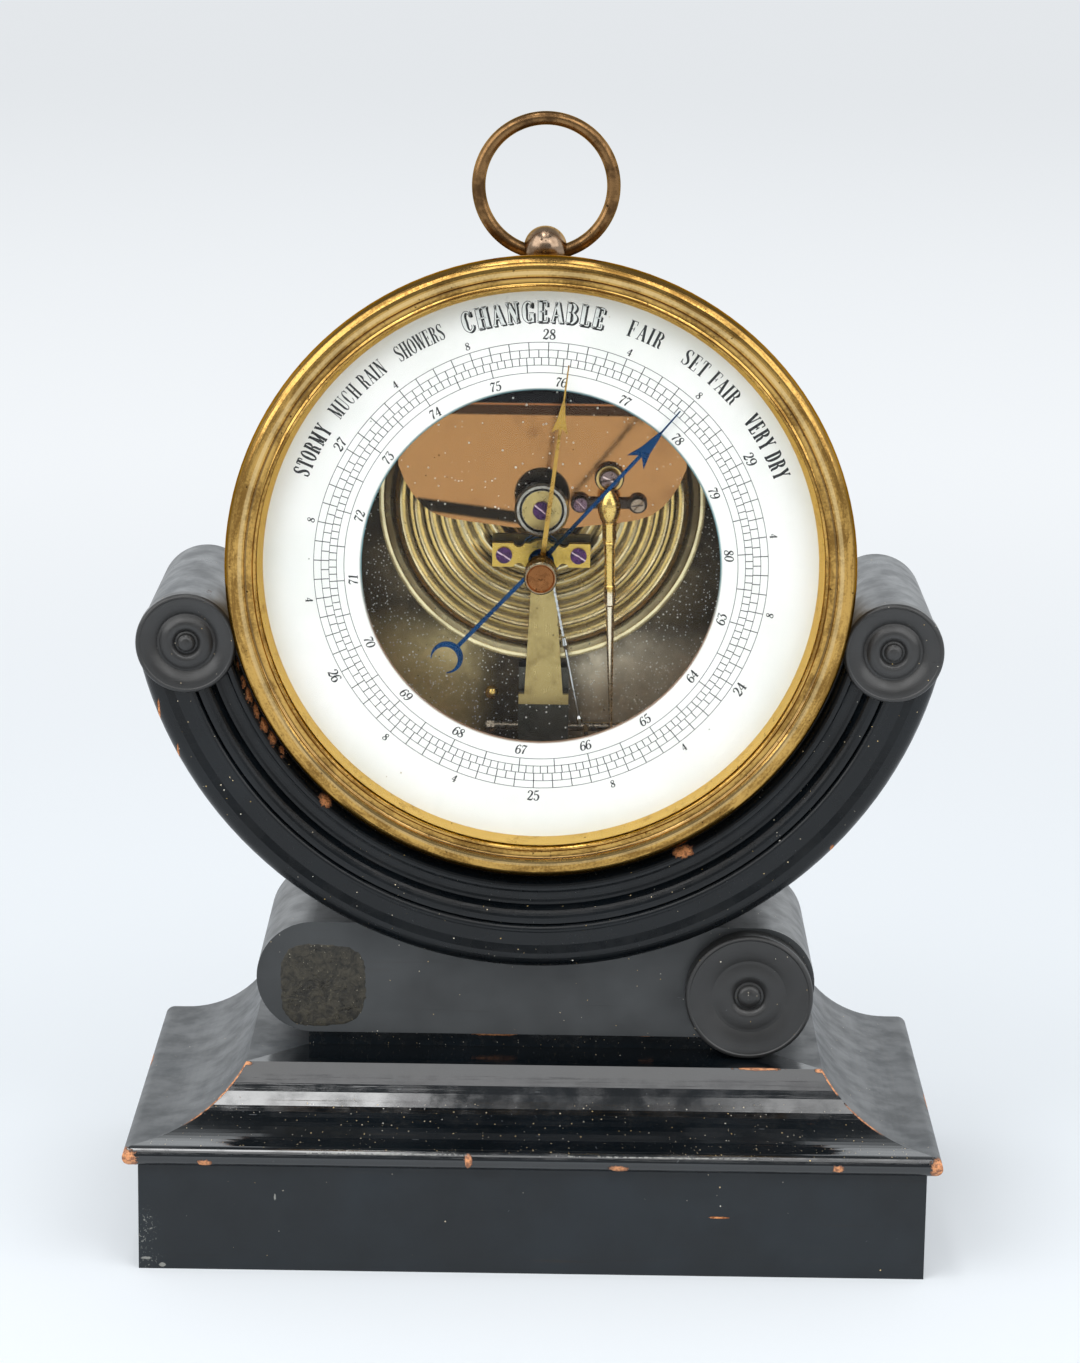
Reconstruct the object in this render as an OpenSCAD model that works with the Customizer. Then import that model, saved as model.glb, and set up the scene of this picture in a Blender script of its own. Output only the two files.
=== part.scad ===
// Desk barometer: an aneroid instrument in a brass drum case, standing in an
// ebonised wooden cradle on a moulded base. All sizes are in millimetres.
// Origin: middle of the base on the surface it stands on. Front is -Y, up is +Z.

/* [Base] */
// Width of the base over its rounded nosing
base_w = 170; // [150:1:200]
// Depth of the base, nosing to flat back
base_depth = 96; // [86:1:116]
// Height of the plinth board
plinth_h = 23.3; // [18:0.1:30]
// How far the plinth stands back under the nosing
plinth_inset = 3; // [1:0.5:5]
// Radius of the rounded nosing
nose_r = 2.1; // [1.5:0.1:3]
// Flat fillet between the nosing and the hollow moulding
nose_fillet = 2.9; // [1:0.1:4]
// Width of the hollow moulding, seen from above
hollow_run = 19; // [12:0.5:22]
// Height of the hollow moulding
hollow_rise = 11.2; // [8:0.1:12]
// Width of the flat ledge on top of the moulding
ledge_w = 12.5; // [6:0.5:14]
// Height of the middle board above the ledge
core_rise = 3.7; // [2:0.1:6]

/* [Scroll block] */
// Radius of the two rolls at the ends of the block
roll_r = 12.2; // [10:0.1:14]
// Half the distance between the roll centres
roll_x = 47.3; // [40:0.1:52]
// Thickness of the block under the lowest point of the cradle
block_web = 16.6; // [12:0.1:22]
// Depth of the block, front to back
block_depth = 47; // [36:1:50]
// Radius of the turned disc on the front of a lower roll
low_roundel_r = 13.6; // [10:0.1:15]
// Thickness of the lower turned disc
low_roundel_t = 4.6; // [3:0.1:6]

/* [Cradle] */
// Width of the moulded face, from the rebate to the outer edge
cradle_w = 19.9; // [17:0.1:25]
// Gap between the bezel and the rebate
rebate_gap = 0.9; // [0.5:0.1:2]
// Depth of the rebate behind the moulded front
rebate_depth = 2.7; // [1.5:0.1:4]
// Depth of the cradle, front to back
cradle_depth = 54; // [40:1:60]
// How far the cradle's own centre lies below the dial centre
cradle_drop = 1.3; // [0:0.1:2]
// Radius of the rollers on the two ends of the cradle
roller_r = 10.1; // [8:0.1:11]
// Angle of each roller below the horizontal
roller_angle = 12.2; // [8:0.1:20]
// Radius of the turned disc on the front of a roller
roundel_r = 10.5; // [8:0.1:11]
// Thickness of the upper turned discs
roundel_t = 4; // [3:0.1:5]

/* [Case] */
// Outer radius of the brass drum
drum_r = 59.3; // [57:0.1:60]
// Wall of the brass drum
drum_wall = 1.2; // [0.8:0.1:2]
// Depth of the drum behind the dial face
drum_depth = 44; // [40:1:50]
// How far the bezel stands out beyond the drum
bezel_w = 5.7; // [5.2:0.1:6.5]
// Radius of the half-round bead on the bezel's edge
bead_r = 2.7; // [2.2:0.05:3]
// Width of the bezel's lip over the edge of the glass
lip_w = 0.9; // [0.6:0.1:1.4]
// Height of the sight ring that holds the glass off the dial
sight_h = 3.1; // [3:0.1:5]
// Width of the dial's edge that the sight ring covers
sight_w = 2; // [1.6:0.1:4]
// Thickness of the glass
glass_t = 1.5; // [1:0.1:3]
// Thickness of the dial plate
dial_t = 1.2; // [0.8:0.1:1.6]
// Radius of the opening in the dial
dial_open_r = 37; // [30:0.5:40]

/* [Hands] */
// Length of the blued pointer from its axis
pointer_len = 43.5; // [38:0.5:48]
// Distance from the axis to the middle of the pointer's crescent tail
tail_len = 28.2; // [20:0.1:30]
// Where the pointer stands at rest, clockwise from the top
pointer_angle = 40.1; // [0:0.1:80]
// Length of the brass set hand from its axis
set_len = 42.8; // [36:0.1:48]
// Where the set hand stands at rest, clockwise from the top
set_angle = 6.9; // [0:0.1:359]
// Radius of the setting knob
knob_r = 3.4; // [2.5:0.1:5]
// How far the setting knob stands in front of the dial
knob_front = 11.5; // [9:0.1:14]

/* [Movement] */
// Radius of the vacuum capsule
capsule_r = 34.4; // [28:0.1:36]
// Height of the capsule's centre above the dial centre
capsule_y = 10; // [6:0.1:12]
// Number of corrugations in the capsule
capsule_rings = 8; // [5:1:10]
// Depth of the movement plate behind the dial
plate_depth = 26; // [25:0.5:30]
// Gap between the movement plate and the drum's wall
plate_gap = 2.1; // [1:0.1:5]
// Half the width of the mainspring leaf
leaf_half_w = 30; // [24:0.5:32]
// Thickness of the mainspring leaf
leaf_t = 1; // [0.6:0.1:1.2]
// How far the leaf leans towards the dial at its top
leaf_tilt = 9; // [4:0.5:12]
// Radius of the capsule post's barrel
post_r = 5.7; // [4:0.1:6.5]
// Radius of the chain drum on the arbor
chain_drum_r = 0.8; // [0.7:0.05:1.4]
// Radius of the arbor
arbor_r = 0.6; // [0.4:0.05:0.8]
// Length of the cock that carries the arbor
cock_len = 20.5; // [18:0.1:24]

/* [Hanging ring] */
// Radius of the ring to the middle of its wire
ring_r = 13.9; // [11:0.1:18]
// Radius of the ring's wire
ring_wire_r = 1.4; // [1:0.05:2]
// Radius of the pendant ball that holds the ring
ball_r = 4.45; // [4:0.05:6]
// How far the pendant ball stands behind the dial
pendant_depth = 16; // [12:0.5:24]

/* [Fits] */
// Radial clearance of a turning shaft
run_gap = 0.05; // [0.02:0.01:0.1]
// Radial clearance between the drum and the cradle it lifts out of
cradle_gap = 0.2; // [0.1:0.05:0.4]
// Radial clearance between fixed nested pieces
seat_gap = 0.06; // [0.03:0.01:0.1]

/* [Hidden] */
$fn = 96;

eps = 0.01;
bezel_r = drum_r + bezel_w;
rebate_r = bezel_r + rebate_gap;
cradle_ro = rebate_r + cradle_w;
sight_r = drum_r - sight_w;
front_y = -base_depth / 2;
dial_setback = 25;
dial_y = front_y + dial_setback;
nose_z = plinth_h + 2 * nose_r;
ledge_z = nose_z + hollow_rise;
hollow_r = (hollow_run * hollow_run + hollow_rise * hollow_rise) / (2 * hollow_rise);
arris_in = nose_r + nose_fillet + hollow_run;
strip_w = arris_in + ledge_w;
core_z = ledge_z + core_rise;
cradle_z = core_z + block_web + cradle_ro;
dial_z = cradle_z + cradle_drop;

spindle_r = 1.2;
bush_r = 2.3;

// Depths behind the dial face are negative, in front of it positive.
cradle_front = -1.5;
cradle_back = cradle_front - cradle_depth;
roundel_back = -3.5;
block_front = -8.5;
drum_back = -drum_depth;
lip_z = sight_h + glass_t;
bead_z = lip_z - 1.5;
plate_z = -plate_depth;
plate_r = drum_r - drum_wall - plate_gap;
plate_t = 2;
capsule_front = plate_z + 6;
leaf_z = capsule_front + 5.5;
post_front = leaf_z + 4;
leaf_slack = post_r * tan(leaf_tilt);
cock_front = -13;
cock_t = 2;
pillar_h = 2.5;
strap_z = cock_front - cock_t - pillar_h;
strap_t = 1.2;
chain_z = strap_z + 0.8;
cock_screw_x = 7.8;
foot_y = -32;
strap_x = 0.85;
rocker_y = -39.2;
rocker_z = plate_z + 3;
rocker_r = 1;
chain_lean = 11.5;
rod_top = 19;
rod_end = 38.2;
lever_x = 14;
lever_y = 10.9;
lever_z = -10.5;
lever_len = 54;
lever_lean = 9;
lever_tilt = 1.4;
lever_ball_r = 2.4;
ball_gap = 0.15;
lever_tip_x = lever_x + lever_len * sin(lever_tilt);
lever_tip_y = lever_y - (lever_len - 0.6) * cos(lever_lean);
lever_tip_z = lever_z - (lever_len - 0.6) * sin(lever_lean);
collet_r = chain_drum_r + 0.4;
ring_pivot_y = drum_r + 4;
case_screw_r = plate_r - 6;
pillar_angles = [30, 150, 270];
spring_screw_x = 14;
spring_screw_r = 0.8;
adjust_hole_r = 1.7;
leg_y = capsule_y + capsule_r + 1.6;
bend_r = (leaf_z + (leg_y - capsule_y) * tan(leaf_tilt) - plate_z - leaf_t - 0.9)
  / (cos(leaf_tilt) + (1 + sin(leaf_tilt)) * tan(leaf_tilt));
bend_y = leg_y - bend_r * (1 + sin(leaf_tilt));
bend_z = leaf_z + (bend_y - capsule_y) * tan(leaf_tilt) - bend_r * cos(leaf_tilt);
adjust_y = leg_y;

function arc(cx, cy, r, a0, a1, n) =
  [for (i = [0:n]) [cx + r * cos(a0 + (a1 - a0) * i / n), cy + r * sin(a0 + (a1 - a0) * i / n)]];

// Puts a piece drawn face-on (x right, y up, z towards the viewer) on the dial axis.
module on_dial() {
  translate([0, dial_y, dial_z]) rotate([90, 0, 0]) children();
}

// The same for pieces drawn about the cradle's own centre.
module on_cradle() {
  translate([0, dial_y, cradle_z]) rotate([90, 0, 0]) children();
}

// A turned piece between two depths, given as a profile of [radius, depth] points.
module turned(points) {
  rotate_extrude($fn = 180) polygon(points);
}

// Base

// Cross-section of the moulded base: distance in from the nosing, and height.
function moulding_profile() = concat(
  arc(nose_r, plinth_h + nose_r, nose_r, 270, 90, 16),
  [for (i = [0:14])
    let (x = hollow_run * i / 14)
    [nose_r + nose_fillet + x, nose_z + hollow_r - sqrt(hollow_r * hollow_r - x * x)]],
  [[strip_w, ledge_z], [strip_w, plinth_h]]);

module plinth() {
  color("#1b1d20")
  translate([-base_w / 2 + plinth_inset, front_y + plinth_inset, 0])
    cube([base_w - 2 * plinth_inset, base_depth - plinth_inset, plinth_h]);
}

// Plan of the part of the base that a front strip covers, mitred at both corners.
module front_plan() {
  translate([0, 0, plinth_h - 1]) linear_extrude(ledge_z)
    polygon([[-base_w / 2, front_y], [base_w / 2, front_y],
      [base_w / 2 - strip_w, front_y + strip_w], [-base_w / 2 + strip_w, front_y + strip_w]]);
}

module front_moulding() {
  color("#1b1d20")
  intersection() {
    front_plan();
    translate([-base_w / 2, front_y, 0]) rotate([90, 0, 90])
      linear_extrude(base_w) polygon(moulding_profile());
  }
}

module side_mouldings() {
  color("#1b1d20")
  for (side = [0, 1]) mirror([side, 0, 0])
    intersection() {
      translate([0, 0, plinth_h - 1]) linear_extrude(ledge_z)
        polygon([[base_w / 2, front_y], [base_w / 2, base_depth / 2],
          [base_w / 2 - strip_w, base_depth / 2], [base_w / 2 - strip_w, front_y + strip_w]]);
      translate([base_w / 2, base_depth / 2, 0]) rotate([90, 0, 0]) mirror([1, 0, 0])
        linear_extrude(base_depth) polygon(moulding_profile());
    }
}

module core_board() {
  half_w = base_w / 2 - strip_w;
  core_front = front_y + strip_w;
  raised_back = dial_y - cradle_back - 2;
  color("#17191c") {
    translate([-half_w, core_front, plinth_h])
      cube([2 * half_w, base_depth / 2 - core_front, ledge_z - plinth_h]);
    translate([-half_w, core_front, ledge_z - 1])
      cube([2 * half_w, raised_back - core_front, core_rise + 1]);
  }
}

// Stand

module scroll_block() {
  roll_z = core_z + roll_r - cradle_z;
  color("#1e2023")
  on_cradle() translate([0, 0, block_front - block_depth]) linear_extrude(block_depth)
    difference() {
      union() {
        translate([-roll_x, roll_z - roll_r]) square([2 * roll_x, 2 * roll_r]);
        for (s = [-1, 1]) translate([s * roll_x, roll_z]) circle(roll_r);
      }
      circle(cradle_ro);
    }
}

// Front of the cradle from the rebate outwards: roll, hollow, bead, flat and rounded edge.
function cradle_profile() = concat(
  [[drum_r - 3, cradle_back], [drum_r - 3, cradle_front - rebate_depth],
   [rebate_r, cradle_front - rebate_depth]],
  arc(rebate_r + 2.1, cradle_front - 2.1, 2.1, 180, 80, 8),
  arc(rebate_r + 4.6, cradle_front + 0.4, 2.9, 228, 290, 6),
  arc(rebate_r + 9.2, cradle_front - 3.4, 3.3, 160, 80, 8),
  [[rebate_r + 9.85, cradle_front - 1.3]],
  arc(rebate_r + 11.2, cradle_front - 1.2, 1.2, 160, 60, 6),
  [[rebate_r + 14.6, cradle_front - 0.5]],
  arc(cradle_ro - 3.6, cradle_front - 3.6, 3.6, 90, 0, 10),
  [[cradle_ro, cradle_back]]);

// Where a roller's axis lies, seen face-on about the cradle's centre.
roller_run = (rebate_r + cradle_ro) / 2 - 0.8;
function roller_at(side) =
  [side * roller_run * cos(roller_angle), -roller_run * sin(roller_angle)];

module cradle() {
  end_angle = roller_angle + 2.5;
  color("#1e2023")
  difference() {
    on_cradle() difference() {
      rotate([0, 0, 180 + end_angle])
        rotate_extrude(angle = 180 - 2 * end_angle, $fn = 240) polygon(cradle_profile());
      for (s = [-1, 1]) translate([roller_at(s).x, roller_at(s).y, 0]) {
        translate([0, 0, cradle_back - 1]) cylinder(r = roller_r + seat_gap, h = cradle_depth + 4);
        translate([0, 0, roundel_back - seat_gap]) cylinder(r = roundel_r + seat_gap, h = 6);
      }
    }
    on_dial() translate([0, 0, cradle_back - 1])
      cylinder(r = drum_r + cradle_gap, h = cradle_depth + 4, $fn = 180);
  }
}

module roller(side) {
  color("#24272b")
  on_cradle() translate([roller_at(side).x, roller_at(side).y, 0]) turned(concat(
    [[0, cradle_back], [roller_r - 0.8, cradle_back]],
    arc(roller_r - 0.8, cradle_back + 0.8, 0.8, 270, 360, 4),
    arc(roller_r - 0.8, roundel_back - 0.8, 0.8, 0, 90, 4),
    [[0, roundel_back]]));
}

module left_roller() { roller(-1); }
module right_roller() { roller(1); }

// A turned disc with a rounded rim, a sunk ring, a raised middle and a domed button.
module roundel(r, t, dish) {
  button = 0.19 * r;
  turned(concat(
    [[0, 0], [r - 0.3, 0], [r, 0.3]],
    arc(r - 0.8, t - 1.0, 0.8, 0, 90, 5),
    [for (i = [0:10])
      let (u = i / 10, x = r - 1 - (r - 1 - 0.58 * r) * u)
      [x, t - 0.35 - dish * u * u]],
    [for (i = [1:8])
      let (u = i / 8, x = 0.56 * r - (0.56 * r - 0.36 * r) * u)
      [x, t - 0.35 - dish + (dish - 0.5) * sin(90 * u)]],
    [for (i = [1:5]) let (u = i / 5) [0.36 * r - (0.36 * r - 1.18 * button) * u, t - 0.85 - 0.9 * u * u]],
    [for (i = [0:6]) [button * cos(15 * i), t - 1.6 + 1.4 * sin(15 * i)]]));
}

module upper_roundel(side) {
  color("#212427")
  on_cradle() translate([roller_at(side).x, roller_at(side).y, roundel_back])
    roundel(roundel_r, roundel_t, 1.5);
}

module left_roundel() { upper_roundel(-1); }
module right_roundel() { upper_roundel(1); }

module lower_roundel() {
  low_x = roll_x - 1.8;
  low_z = ledge_z + low_roundel_r + 0.3 - cradle_z;
  color("#212427")
  on_cradle() translate([low_x, low_z, block_front]) roundel(low_roundel_r, low_roundel_t, 0.9);
}

// Case

module case_drum() {
  color("#8a6a34")
  on_dial() difference() {
    turned([[0, drum_back], [drum_r - 1, drum_back], [drum_r, drum_back + 1], [drum_r, -dial_t],
      [drum_r - 3.5, -dial_t], [drum_r - 3.5, -dial_t - 1], [drum_r - drum_wall, -dial_t - 1],
      [drum_r - drum_wall, drum_back + drum_wall], [0, drum_back + drum_wall]]);
    for (a = pillar_angles) rotate([0, 0, a]) translate([case_screw_r, 0, drum_back - 1])
      cylinder(r = 1.6, h = 4);
    translate([0, adjust_y, drum_back - 1]) cylinder(r = adjust_hole_r, h = 4);
  }
}

module case_screws() {
  color("#3c4048")
  on_dial() for (a = pillar_angles) rotate([0, 0, a]) translate([case_screw_r, 0, 0]) difference() {
    union() {
      translate([0, 0, drum_back - 1.2]) cylinder(r = 2.6, h = 1.2);
      translate([0, 0, drum_back - 0.5]) cylinder(r = 1.5, h = 6);
    }
    translate([-3, -0.3, drum_back - 1.5]) cube([6, 0.6, 0.9]);
  }
}

// Bezel: skirt over the drum, lip over the glass, hollow, and half-round bead outside.
module bezel() {
  bead_c = bezel_r - bead_r;
  cove_r = 1.2;
  cove_c = drum_r + 0.65;
  cove_z = lip_z + 1.5;
  skirt_z = cradle_front - rebate_depth + 0.3;
  color("#b08a45")
  on_dial() turned(concat(
    [[drum_r - lip_w, lip_z], [drum_r - lip_w, lip_z + 0.5]],
    arc(drum_r - lip_w + 0.35, lip_z + 0.5, 0.35, 150, 60, 4),
    arc(cove_c, cove_z, cove_r, 216, 328, 10),
    arc(bead_c, bead_z, bead_r, 118, -76, 24),
    [[bead_c - 0.4, bead_z - bead_r], [drum_r + 1.6, bead_z - bead_r - 0.5],
     [drum_r + 1.1, bead_z - bead_r - 1.2], [drum_r + 1.1, skirt_z],
     [drum_r + seat_gap, skirt_z], [drum_r + seat_gap, lip_z]]));
}

module glass() {
  color("#dfe8ea", 0.35)
  on_dial() difference() {
    translate([0, 0, sight_h]) cylinder(r = drum_r, h = glass_t, $fn = 180);
    translate([0, 0, sight_h - 1]) cylinder(r = bush_r + seat_gap, h = glass_t + 2);
  }
}

module sight_ring() {
  color("#c9a35c")
  on_dial() turned([[sight_r, 0], [drum_r, 0], [drum_r, sight_h], [drum_r - lip_w, sight_h],
    [drum_r - lip_w - 0.05, sight_h - 0.5], [sight_r + 0.1, 0.3]]);
}

module dial() {
  color("#f2f0ea")
  on_dial() turned([[dial_open_r + 0.4, -dial_t], [drum_r, -dial_t], [drum_r, 0], [dial_open_r + 0.5, 0],
    [dial_open_r, -0.4], [dial_open_r, -0.8]]);
}

// Brass bush in the glass that the setting spindle turns in.
module glass_bush() {
  color("#b08a45")
  on_dial() turned([[spindle_r + run_gap, sight_h - 0.4], [bush_r + 0.9, sight_h - 0.4], [bush_r + 0.9, sight_h],
    [bush_r, sight_h], [bush_r, lip_z], [bush_r + 0.7, lip_z], [bush_r + 0.5, lip_z + 0.7],
    [spindle_r + run_gap, lip_z + 0.7]]);
}

module pendant_ball() {
  color("#6b5230")
  translate([0, dial_y + pendant_depth, dial_z]) difference() {
    union() {
      translate([0, 0, ring_pivot_y + 0.9]) sphere(ball_r);
      cylinder(r = ball_r - 0.3, h = ring_pivot_y + 0.5);
    }
    rotate([90, 0, 0]) cylinder(r = drum_r + eps, h = 20, center = true, $fn = 180);
    translate([0, 0, ring_pivot_y]) rotate([0, 90, 0])
      cylinder(r = ring_wire_r + 0.45, h = 20, center = true);
  }
}

module hanging_ring() {
  color("#8a6a34")
  translate([0, dial_y + pendant_depth, dial_z + ring_pivot_y + ring_r - 0.35]) rotate([90, 0, 0])
    rotate_extrude($fn = 120) translate([ring_r, 0]) circle(ring_wire_r, $fn = 40);
}

// Movement

module base_plate() {
  color("#6a5c48")
  on_dial() difference() {
    translate([0, 0, plate_z - plate_t]) cylinder(r = plate_r, h = plate_t, $fn = 180);
    translate([0, adjust_y, plate_z - plate_t - 1]) cylinder(r = 2 + run_gap, h = plate_t + 2);
    translate([0, capsule_y, plate_z - plate_t - 1]) cylinder(r = 2 + seat_gap, h = plate_t + 2);
    spring_holes();
  }
}

module plate_pillars() {
  color("#b08a45")
  on_dial() for (a = pillar_angles) rotate([0, 0, a]) translate([case_screw_r, 0, 0]) difference() {
    translate([0, 0, drum_back + drum_wall]) cylinder(r = 3, h = plate_z - plate_t - drum_back - drum_wall);
    translate([0, 0, drum_back]) cylinder(r = 1.5 + seat_gap, h = 8);
  }
}

// Domed brass stud on the front of the movement plate.
module plate_stud() {
  color("#c9a35c")
  on_dial() translate([-10.2, -32.6, plate_z]) turned(concat([[0, 0], [1.5, 0]], arc(0, 0.4, 1.5, 0, 90, 6)));
}

// Depth of the corrugated front diaphragm at a distance from its centre.
function ripple(r) =
  0.55 * cos(360 * capsule_rings * (r - post_r - 1) / (capsule_r - 3 - post_r - 1) + 180);

module capsule() {
  steps = capsule_rings * 8;
  inner = post_r + 1;
  outer = capsule_r - 3;
  color("#b89a5c")
  on_dial() translate([0, capsule_y, 0]) turned(concat(
    [[0, plate_z + 0.6], [0, capsule_front - 0.5], [inner - 0.6, capsule_front - 0.5]],
    [for (i = [0:steps]) let (r = inner + (outer - inner) * i / steps) [r, capsule_front - 0.5 + ripple(r)]],
    [[capsule_r - 1.4, capsule_front - 1.4], [capsule_r - 1, plate_z + 3.6], [capsule_r, plate_z + 3.6],
     [capsule_r, plate_z + 2.4], [capsule_r - 1, plate_z + 2.4], [capsule_r - 1.6, plate_z + 1],
     [capsule_r - 3, plate_z + 0.6]]));
}

module capsule_nut() {
  color("#b08a45")
  on_dial() translate([0, capsule_y, 0]) {
    translate([0, 0, plate_z - plate_t - 3]) cylinder(r = 4.2, h = 3, $fn = 6);
    translate([0, 0, plate_z - plate_t - 0.5]) cylinder(r = 2, h = plate_t + 1.1);
  }
}

// Barrel post that stands on the capsule and holds the leaf between its shoulder and head.
module capsule_post() {
  back = leaf_z - leaf_t - leaf_slack;
  head = leaf_z + leaf_slack;
  color("#7d7564")
  on_dial() translate([0, capsule_y, 0]) difference() {
    turned([[0, capsule_front - 0.5], [post_r - 0.6, capsule_front - 0.5], [post_r - 0.6, back],
      [3, back], [3, head], [post_r, head], [post_r, post_front - 0.5],
      [post_r - 0.5, post_front], [post_r - 1.1, post_front], [post_r - 1.1, post_front - 0.6],
      [post_r - 1.5, post_front - 0.6], [post_r - 1.5, post_front - 0.2], [0, post_front - 0.2]]);
    translate([0, 0, post_front - 3]) cylinder(r = 1.2 + seat_gap, h = 4);
  }
}

// A cheese-head screw standing on a face, slot cut across at an angle.
module screw(head_r, head_h, shank_r, shank_h, slot_angle) {
  difference() {
    union() {
      cylinder(r = head_r, h = head_h);
      translate([0, 0, -shank_h]) cylinder(r = shank_r, h = shank_h + eps);
    }
    rotate([0, 0, slot_angle]) translate([-head_r - 1, -0.23, head_h - 0.5])
      cube([2 * head_r + 2, 0.46, 1]);
  }
}

module post_screw() {
  color("#4a2f5c")
  on_dial() translate([0, capsule_y, post_front - 0.2]) screw(1.9, 0.7, 1.2, 2.4, 40);
}

// Broad leaf in front of the capsule, leaning forward, bent back over the capsule's
// edge and led down to a foot on the plate. The bend laps the end of the leaf.
module mainspring() {
  foot_half = 22;
  top = (bend_y - capsule_y) / cos(leaf_tilt);
  w = leaf_half_w;
  lap = 0.02;
  lap_angle = leaf_tilt + 2.3;
  color("#a8744c")
  on_dial() {
    on_leaf() translate([0, 0, -leaf_t]) linear_extrude(leaf_t) difference() {
      union() {
        for (s = [0, 1]) mirror([s, 0])
          polygon([[-eps, top], [w, top], [w, 8.8], [w - 1.4, 5.2], [w - 3.1, 2.4], [w - 5, 0.1],
            [w - 7.2, -1.6], [w - 10, -2.6], [w - 14, -3.3], [w - 21.3, -4.2], [6, -4.6], [-eps, -4.6]]);
      }
      circle(3.4);
    }
    translate([-w, bend_y + bend_r * sin(leaf_tilt), bend_z]) rotate([90, 0, 90])
      linear_extrude(2 * w) difference() {
        intersection() {
          circle(bend_r + lap, $fn = 120);
          polygon([[0, 0], [2 * bend_r, 0], [2 * bend_r, 2 * bend_r],
            [-2 * bend_r * sin(lap_angle), 2 * bend_r * cos(lap_angle)]]);
        }
        circle(bend_r - leaf_t - lap, $fn = 120);
      }
    translate([-foot_half, leg_y - leaf_t, plate_z]) cube([2 * foot_half, leaf_t, bend_z - plate_z + eps]);
    difference() {
      translate([-foot_half, leg_y - leaf_t, plate_z]) cube([2 * foot_half, 5, leaf_t]);
      spring_holes();
    }
  }
}

// Puts a piece drawn on the leaf's front face where the leaf leans.
module on_leaf() {
  translate([0, capsule_y, leaf_z]) rotate([leaf_tilt, 0, 0]) children();
}

// Holes through the foot and the plate for the two screws that hold the mainspring.
module spring_holes() {
  for (s = [-1, 1]) translate([s * spring_screw_x, leg_y + 1.9, plate_z - plate_t - 1])
    cylinder(r = spring_screw_r + seat_gap, h = plate_t + leaf_t + 2);
}

module spring_screws() {
  color("#3c4048")
  on_dial() for (s = [-1, 1]) translate([s * spring_screw_x, leg_y + 1.9, plate_z + leaf_t])
    screw(1.4, 0.9, spring_screw_r, leaf_t + 1.4, 20);
}

// Steel bracket on the plate that carries the rocker shaft and the foot of the strap.
module rocker_bracket() {
  bracket_top = strap_z - strap_t;
  color("#8c8f90")
  on_dial() difference() {
    union() {
      translate([strap_x - 5.3, rocker_y - 3, plate_z])
        cube([10.6, foot_y + 1.3 - rocker_y + 3, bracket_top - plate_z]);
      translate([strap_x - 5.3, foot_y, plate_z]) cube([10.6, 6.1, bracket_top - plate_z - 2.5]);
    }
    translate([-6, rocker_y, rocker_z]) rotate([0, 90, 0]) cylinder(r = rocker_r + run_gap, h = 14);
    translate([strap_x - 3.2, rocker_y - 4, plate_z + 1.5]) cube([6.4, 8.5, 3.6]);
  }
}

// Flat brass strap with a T foot; its head carries the cock's pillars.
module arbor_strap() {
  color("#b3985a")
  on_dial() translate([0, 0, strap_z - strap_t]) linear_extrude(strap_t) difference() {
    union() {
      polygon([[strap_x - 4.15, foot_y], [strap_x + 4.15, foot_y],
        [strap_x / 2 + 2.1, 0], [strap_x / 2 - 2.1, 0]]);
      translate([strap_x - 5.3, foot_y - 1.1]) square([10.6, 2.2]);
      translate([-cock_len / 2, -2.5]) square([cock_len, 6.1]);
    }
    circle(arbor_r + run_gap);
    for (s = [-1, 1]) translate([s * cock_screw_x, 0]) circle(0.8 + seat_gap);
  }
}

module cock_pillars() {
  color("#b08a45")
  on_dial() for (s = [-1, 1]) translate([s * cock_screw_x, 0, strap_z]) difference() {
    cylinder(r = 1.5, h = pillar_h);
    translate([0, 0, -1]) cylinder(r = 0.8 + seat_gap, h = pillar_h + 2);
  }
}

// Scalloped cock with a swelling round the arbor hole.
module arbor_cock() {
  half = cock_len / 2;
  color("#b3985a")
  on_dial() translate([0, 0, cock_front - cock_t]) linear_extrude(cock_t) difference() {
    union() {
      translate([-half, -2.5]) square([cock_len, 5]);
      circle(3.3);
    }
    for (s = [-1, 1], t = [-1, 1]) translate([s * 4.7, t * 2.9]) circle(1.2);
    circle(arbor_r + run_gap);
    for (s = [-1, 1]) translate([s * cock_screw_x, 0]) circle(0.8 + seat_gap);
  }
}

module cock_screws() {
  color("#4a2f5c")
  on_dial() for (s = [-1, 1]) translate([s * cock_screw_x, 0, cock_front])
    screw(1.7, 0.7, 0.8, cock_t + pillar_h + strap_t, s * 35 + 80);
}

// Flat spiral spring round the arbor, its outer end led to a pillar.
module hairspring() {
  turns = 5;
  inner = collet_r + 0.13;
  outer = 4.8;
  steps = turns * 16;
  half = 0.11;
  function spiral(i, side) =
    let (a = 360 * turns * i / steps, r = inner + (outer - inner) * i / steps + side * half)
    [r * cos(a), r * sin(a)];
  color("#3d5878")
  on_dial() translate([0, 0, strap_z + 1.55]) linear_extrude(0.6)
    polygon(concat([for (i = [0:steps]) spiral(i, 1)],
      [[cock_screw_x - 1.5, 0], [cock_screw_x - 1.5, 2 * half], [outer - half, 2 * half]],
      [for (i = [steps:-1:0]) spiral(i, -1)]));
}

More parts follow.
